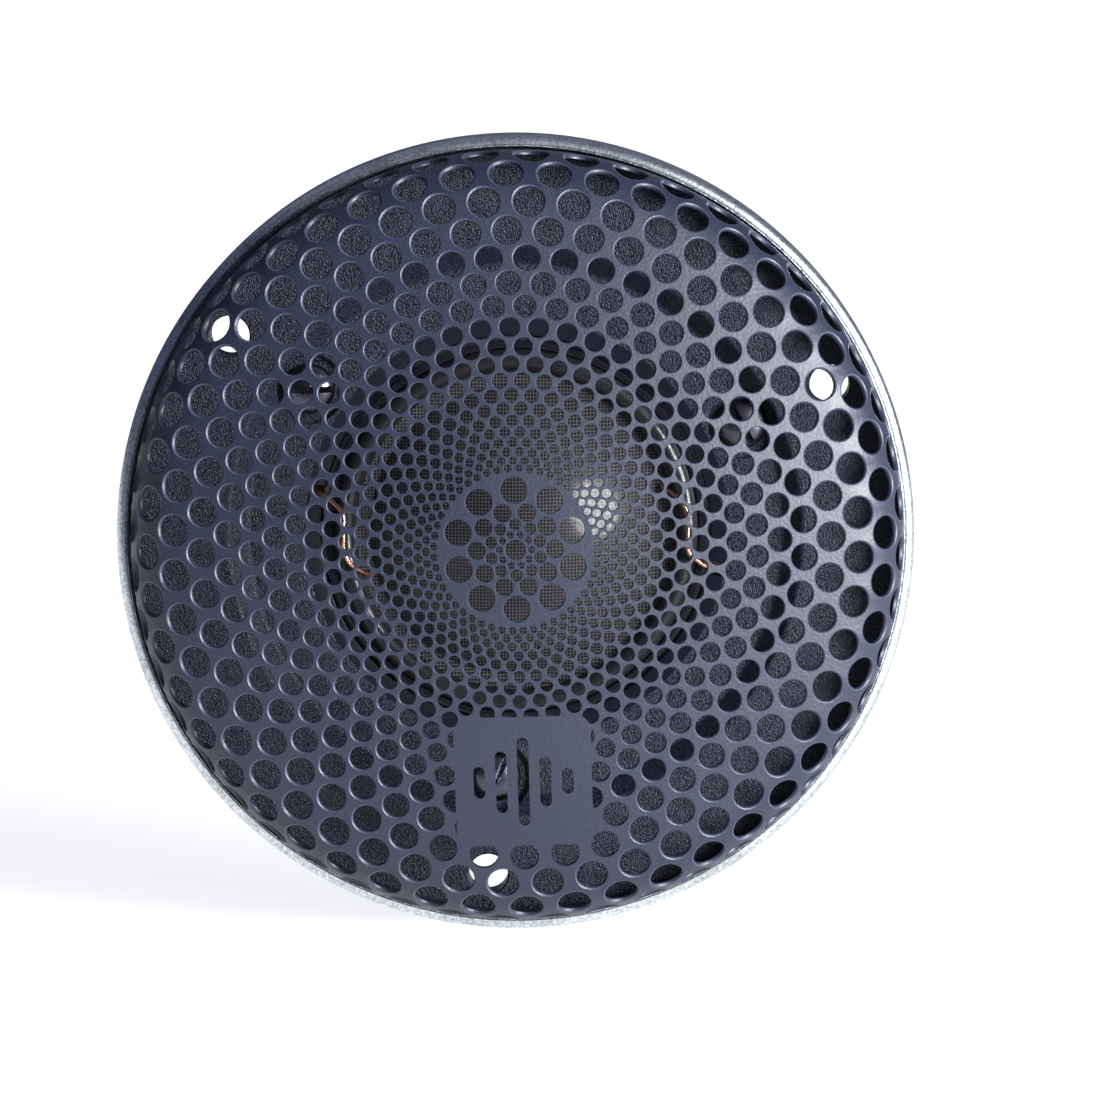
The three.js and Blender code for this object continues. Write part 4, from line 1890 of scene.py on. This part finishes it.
@dataclass
class Suspension:
    """Half-roll surround, the ring that carries it, and the coil's two lead-outs."""

    roll: tuple[float, float] = (15.35 * MM, 17.45 * MM)
    base: float = -2.3 * MM
    rise: float = 1.15 * MM
    skin: float = 0.3 * MM
    carrier: tuple[float, float] = (17.55 * MM, 18.25 * MM)
    lead_radius: float = 0.225 * MM
    lead_ends: tuple[float, float] = (14.7 * MM, 19.0 * MM)
    strands: int = 6
    lead_sides: int = 24
    lead_steps: int = 22
    twist: float = 1.6 * MM
    route: tuple[tuple[float, float, float], ...] = (
        (28, 14.65, -2.4), (25.5, 15.3, -3.2), (22, 16.1, -4.05), (17, 16.5, -4.3), (11, 16.45, -4.35),
        (5, 16.6, -4.25), (2, 17.6, -3.8), (0.5, 18.6, -3.25), (0, 19.35, -2.3), (0, 19.4, -1.05))
    """Angle from the contact, radius and y of the points that a lead-out passes, in mm."""
    cloth: DopedRoll = DopedRoll()
    gloss: GlossPlastic = GlossPlastic("carrier plastic")
    copper: Copper = Copper("lead copper", (0.95, 0.50, 0.34), (0.80, 0.36, 0.22))

    def half_roll(self, inset: float, steps: int = 26) -> Outline:
        """One skin of the roll, from its inner to its outer foot.

        Args:
            inset: How far inside the outer skin.
            steps: Facets over the roll.

        Returns:
            The points.
        """
        half, middle = (self.roll[1] - self.roll[0]) / 2, sum(self.roll) / 2
        turns = [math.pi * i / steps for i in range(steps + 1)]
        return [(middle - (half - inset) * math.cos(t), self.base - (self.rise - inset) * math.sin(t))
                for t in turns]

    def centre_line(self, contact: float, steps: int) -> list[Vector]:
        """Points along the middle of a lead-out.

        Args:
            contact: Angle of the contact, in degrees.
            steps: Points between two knots.

        Returns:
            The points.
        """
        knots = []
        for offset, radius, y in self.route:
            turn = math.radians(contact + offset)
            knots.append(Vector((radius * math.cos(turn), y, radius * math.sin(turn))) * MM)
        knots = [knots[0] * 2 - knots[1], *knots, knots[-1] * 2 - knots[-2]]
        line = []
        for a, b, c, d in zip(knots, knots[1:], knots[2:], knots[3:]):
            for t in np.arange(0, 1, 1 / steps):
                line.append(((b * 2) + (c - a) * t + (a * 2 - b * 5 + c * 4 - d) * t ** 2
                             + (b * 3 - a - c * 3 + d) * t ** 3) * 0.5)
        return line + [knots[-2]]

    def lead(self, name: str, contact: float) -> bpy.types.Object:
        """A twisted lead-out that runs from the dome's edge to a contact.

        Args:
            name: Name of the piece.
            contact: Angle of the contact, in degrees.

        Returns:
            The lead-out.
        """
        line = self.centre_line(contact, self.lead_steps)
        sides = self.lead_sides
        form = bmesh.new()
        loops = []
        side = Vector((0, 1, 0))
        turned_by = 0.0
        for i, middle in enumerate(line):
            along = (line[min(i + 1, len(line) - 1)] - line[max(i - 1, 0)]).normalized()
            side = (side - along * side.dot(along)).normalized()
            other = along.cross(side)
            if i:
                turned_by += (middle - line[i - 1]).length / self.twist * 2 * math.pi
            loop = []
            for k in range(sides):
                a = 2 * math.pi * k / sides
                swell = 0.04 * abs(math.cos((a + turned_by) * self.strands / 2)) ** 0.7
                radius = self.lead_radius * (0.96 + swell)
                loop.append(form.verts.new(middle + (side * math.cos(a) + other * math.sin(a)) * radius))
            loops.append(loop)
        for one, two in zip(loops, loops[1:]):
            for k in range(sides):
                form.faces.new((one[k], one[(k + 1) % sides], two[(k + 1) % sides], two[k]))
        form.faces.new(loops[0][::-1])
        form.faces.new(loops[-1])
        bmesh.ops.recalc_face_normals(form, faces=form.faces)
        mesh = mesh_of(name, form)
        crease(mesh, 60.0)
        return piece_from(name, mesh)

    def build(self, shop: Workshop) -> None:
        """Makes the surround, its carrier and the lead-outs.

        Args:
            shop: Where pieces are dressed and fitted.
        """
        roll = turned("surround_roll", self.half_roll(0.0) + self.half_roll(self.skin)[::-1])
        shop.fit_bending(roll, Slot.SURROUND, self.cloth, ["surround"], *self.roll)
        reach = Reach.of("diaphragm_ring")
        ring = turned("carrier_ring", ring_outline(*self.carrier, reach.front, reach.rear),
                      240, rounding=0.16 * MM)
        shop.fit(ring, Body.FRAME, self.gloss, ["diaphragm_ring"])
        for side, angle in CONTACTS.items():
            wire = self.lead("lead_wire_" + side, angle)
            shop.fit_bending(wire, Slot.COPPER, self.copper, ["lead_" + side], *self.lead_ends)


@dataclass
class Contacts:
    """The two bent brass contacts under the face plate."""

    inner: float = 18.75 * MM
    outer: float = 30.1 * MM
    width: float = 3.8 * MM
    skin: float = 0.5 * MM
    front: float = -0.8 * MM
    end: float = 10.0 * MM
    eye: tuple[float, float] = (0.7 * MM, 2.5 * MM)
    finish: StampedBrass = StampedBrass()

    def build(self, shop: Workshop) -> None:
        """Makes both contacts and fits them to the frame.

        Args:
            shop: Where pieces are dressed and fitted.
        """
        for side, angle in CONTACTS.items():
            strip = slab(angle, self.inner, self.outer, self.width, self.front, self.front + self.skin)
            blade = slab(angle, self.outer - self.skin, self.outer, self.width, self.front, self.end)
            strip.name = "contact_strip_" + side
            combine(strip, [blade], "UNION")
            radius, inset = self.eye
            eye = rod(0.0, 0.0, radius, -DEEP_CUT, DEEP_CUT)
            eye.data.transform(Matrix.Rotation(-math.radians(angle), 4, "Y")
                               @ Matrix.Translation((0, self.end - inset, 0))
                               @ Matrix.Translation((self.outer, 0, 0))
                               @ Matrix.Rotation(math.pi / 2, 4, "Z")
                               @ Matrix.Diagonal((1, 0.1, 1, 1)))
            combine(strip, [eye])
            edged(strip, 0.07 * MM)
            shop.fit(strip, Body.FRAME, self.finish, ["contact_" + side])


# ---- magnet system and rear chamber ---------------------------------------------------


@dataclass
class MagnetSystem:
    """Top plate, ferrite ring, yoke with its pole, copper cap and felt pad."""

    top_plate_inner: float = 14.95 * MM
    magnet_inner: float = 16.5 * MM
    pole: float = 13.0 * MM
    yoke_plate_front: float = 12.4 * MM
    vent: float = 4.0 * MM
    cap_inner: float = 13.05 * MM
    felt_inner: float = 4.6 * MM
    tapped_from: float = 11.4 * MM
    zinc: TurnedMetal = TurnedMetal("zinc plate", (0.55, 0.57, 0.58), (0.43, 0.45, 0.47), (0.26, 0.42))
    ferrite: Ferrite = Ferrite()
    copper: Copper = Copper("shorting copper")
    felt: Fibre = Fibre("felt", 0.16 * MM, (0.03, 0.03, 0.03), (0.085, 0.083, 0.08), 0.08 * MM)

    def ring(self, name: str, node: str, inner: float, rounding: float) -> bpy.types.Object:
        """A turned ring that fills a node of the frame."""
        reach = Reach.of(node)
        return turned(name, ring_outline(inner, reach.radius, reach.front, reach.rear), rounding=rounding)

    def build(self, shop: Workshop) -> None:
        """Makes the pieces of the magnet system and fits them to the frame.

        Args:
            shop: Where pieces are dressed and fitted.
        """
        top = self.ring("front_plate", "top_plate", self.top_plate_inner, 0.25 * MM)
        combine(top, [rod(FACE_SCREW_CIRCLE, a, FACE_SCREW_HOLE, -PLATE_CUT, DEEP_CUT) for a in THIRDS])
        shop.fit(top, Body.FRAME, self.zinc, ["top_plate"])
        magnet = self.ring("ferrite_ring", "magnet", self.magnet_inner, 0.5 * MM)
        shop.fit(magnet, Body.FRAME, self.ferrite, ["magnet"])
        reach = Reach.of("pole_yoke")
        yoke = turned("yoke", [
            (self.vent, reach.front), (self.pole, reach.front), (self.pole, self.yoke_plate_front),
            (reach.radius, self.yoke_plate_front), (reach.radius, reach.rear),
            (self.vent, reach.rear)], rounding=0.3 * MM)
        combine(yoke, [rod(CUP_SCREW_CIRCLE, a, CUP_SCREW_HOLE, self.tapped_from, DEEP_CUT)
                       for a in CUP_THIRDS])
        shop.fit(yoke, Body.FRAME, self.zinc, ["pole_yoke"])
        cap = self.ring("copper_cap", "shorting_cap", self.cap_inner, 0.06 * MM)
        shop.fit(cap, Body.FRAME, self.copper, ["shorting_cap"])
        felt = self.ring("felt_pad", "pole_felt", self.felt_inner, 0.25 * MM)
        shop.fit(felt, Body.FRAME, self.felt, ["pole_felt"])


@dataclass
class RearChamber:
    """Moulded cup over the back of the yoke, with its block of foam."""

    radius: float = 19.0 * MM
    wall: float = 1.5 * MM
    flange: float = 23.0 * MM
    flange_rear: float = 18.3 * MM
    round_off: float = 1.6 * MM
    plastic: GrainedPlastic = GrainedPlastic("cup plastic", grain=0.3 * MM, depth=0.035 * MM)
    foam: Fibre = Fibre("chamber foam", 0.45 * MM, (0.012, 0.012, 0.013), (0.07, 0.07, 0.072), 0.2 * MM)

    def build(self, shop: Workshop) -> None:
        """Makes the cup and the foam and fits them to the frame.

        Args:
            shop: Where pieces are dressed and fitted.
        """
        reach = Reach.of("rear_cup")
        inner = self.radius - self.wall
        floor = reach.rear - self.wall
        bend = arc((self.radius - self.round_off, reach.rear - self.round_off), self.round_off, 0, 90, 8)
        profile = [(0.0, floor), (inner, floor), (inner, reach.front), (self.flange, reach.front),
                   (self.flange, self.flange_rear), (self.radius, self.flange_rear)]
        outline = softened(profile + bend + [(0.0, reach.rear)], 0.3 * MM)
        cup = turned("rear_cup_moulding", outline)
        combine(cup, [rod(CUP_SCREW_CIRCLE, a, CUP_SCREW_HOLE, PLATE_CUT, DEEP_CUT)
                      for a in CUP_THIRDS])
        shop.fit(cup, Body.FRAME, self.plastic, ["rear_cup"])
        soft = Reach.of("rear_foam")
        block = turned("foam_block", [(0.0, soft.front), (soft.radius, soft.front),
                                      (soft.radius, soft.rear), (0.0, soft.rear)], rounding=0.9 * MM)
        shop.fit(block, Body.FRAME, self.foam, ["rear_foam"])


# ---- studio -------------------------------------------------------------------------


@dataclass
class Lamp:
    """A large, far, soft light: where it shines from, how strongly, and how wide it looks."""

    name: str
    towards: tuple[float, float, float]
    strength: float
    width: float
    colour: Colour = (1.0, 1.0, 1.0)

    def build(self) -> None:
        """Adds the light to the scene."""
        data = bpy.data.lights.new(self.name, "SUN")
        data.energy = self.strength
        data.angle = math.radians(self.width)
        data.color = self.colour
        lamp = bpy.data.objects.new(self.name, data)
        lamp.rotation_euler = Vector(self.towards).to_track_quat("Z", "Y").to_euler()
        bpy.context.scene.collection.objects.link(lamp)


@dataclass
class Studio:
    """Pale floor, soft lights and the camera."""

    azimuth: float = 0.65
    elevation: float = 6.3
    distance: float = 0.65
    lens: float = 228.0
    sideways: float = 3.26 * MM
    floor_ends: tuple[float, float] = (-0.14, 12.0)
    floor_half: float = 6.0
    world: Colour = (0.045, 0.055, 0.11)
    paper: StudioPaper = StudioPaper()
    lamps: tuple[Lamp, ...] = (
        Lamp("key from the right", (0.70, -0.62, 0.14), 12.0, 30.0, (0.97, 0.985, 1.0)),
        Lamp("overhead", (0.2, 0.1, 1.0), 0.25, 120.0),
    )

    def camera(self) -> None:
        """Adds the camera, looking at the middle of the grille."""
        data = bpy.data.cameras.new("camera")
        data.lens = self.lens
        data.sensor_width = 36.0
        data.clip_end = 40.0
        eye = bpy.data.objects.new("camera", data)
        turn, lift = math.radians(self.azimuth), math.radians(self.elevation)
        away = Vector((math.sin(turn) * math.cos(lift), -math.cos(turn) * math.cos(lift), math.sin(lift)))
        facing = away.to_track_quat("Z", "Y")
        grille = Reach.of("grille")
        apex = Vector((grille.middle, grille.front, 0.0))
        aim = apex + facing @ Vector((self.sideways, 0.0, 0.0))
        eye.location = aim + away * self.distance
        eye.rotation_euler = facing.to_euler()
        bpy.context.scene.collection.objects.link(eye)
        bpy.context.scene.camera = eye

    def floor(self) -> None:
        """Adds the floor under the lowest point of the tweeter."""
        half, level = self.floor_half, CAD_BOX[0].z
        near, far = self.floor_ends
        mesh = bpy.data.meshes.new("floor")
        corners = [(-half, near, level), (half, near, level), (half, far, level), (-half, far, level)]
        mesh.from_pydata(corners, [], [(0, 1, 2, 3)])
        sheet = piece_from("floor", mesh)
        mesh.materials.append(self.paper.material())

    def build(self) -> None:
        """Sets up the floor, the lights, the surroundings and the camera."""
        self.floor()
        for lamp in self.lamps:
            lamp.build()
        world = bpy.data.worlds.new("surroundings")
        world.use_nodes = True
        world.node_tree.nodes["Background"].inputs["Color"].default_value = (*self.world, 1.0)
        bpy.context.scene.world = world
        bpy.context.scene.view_settings.view_transform = "Standard"
        self.camera()


# ---- the tweeter --------------------------------------------------------------------


@dataclass
class Tweeter:
    """All sub-assemblies of the car tweeter."""

    grille: Grille = field(default_factory=Grille)
    rim: RimRing = field(default_factory=RimRing)
    plate: FacePlate = field(default_factory=FacePlate)
    face_screws: Screws = field(default_factory=lambda: Screws(
        "face_screw_set", ("face_screw_1", "face_screw_2", "face_screw_3"), FACE_SCREW_CIRCLE, THIRDS[0],
        -1.55 * MM, -1.0, 2.4 * MM, 1.9 * MM, 1.3 * MM, 5.2 * MM, 0.6 * MM))
    diaphragm: Diaphragm = field(default_factory=Diaphragm)
    suspension: Suspension = field(default_factory=Suspension)
    contacts: Contacts = field(default_factory=Contacts)
    magnet: MagnetSystem = field(default_factory=MagnetSystem)
    chamber: RearChamber = field(default_factory=RearChamber)
    cup_screws: Screws = field(default_factory=lambda: Screws(
        "cup_screw_set", ("cup_screw_1", "cup_screw_2", "cup_screw_3"), CUP_SCREW_CIRCLE, CUP_THIRDS[0],
        18.35 * MM, 1.0, 1.65 * MM, 1.1 * MM, 0.9 * MM, 4.6 * MM, 0.5 * MM))

    def build(self, shop: Workshop) -> None:
        """Makes every sub-assembly.

        Args:
            shop: Where pieces are dressed and fitted.
        """
        for assembly in (self.grille, self.rim, self.plate, self.face_screws, self.diaphragm,
                         self.suspension, self.contacts, self.magnet, self.chamber, self.cup_screws):
            log.info("building %s", type(assembly).__name__)
            assembly.build(shop)


def main() -> None:
    """Builds the tweeter and its studio."""
    logging.basicConfig(level=logging.INFO, format="%(message)s")
    Tweeter().build(Workshop())
    Studio().build()


if __name__ == "__main__":
    main()
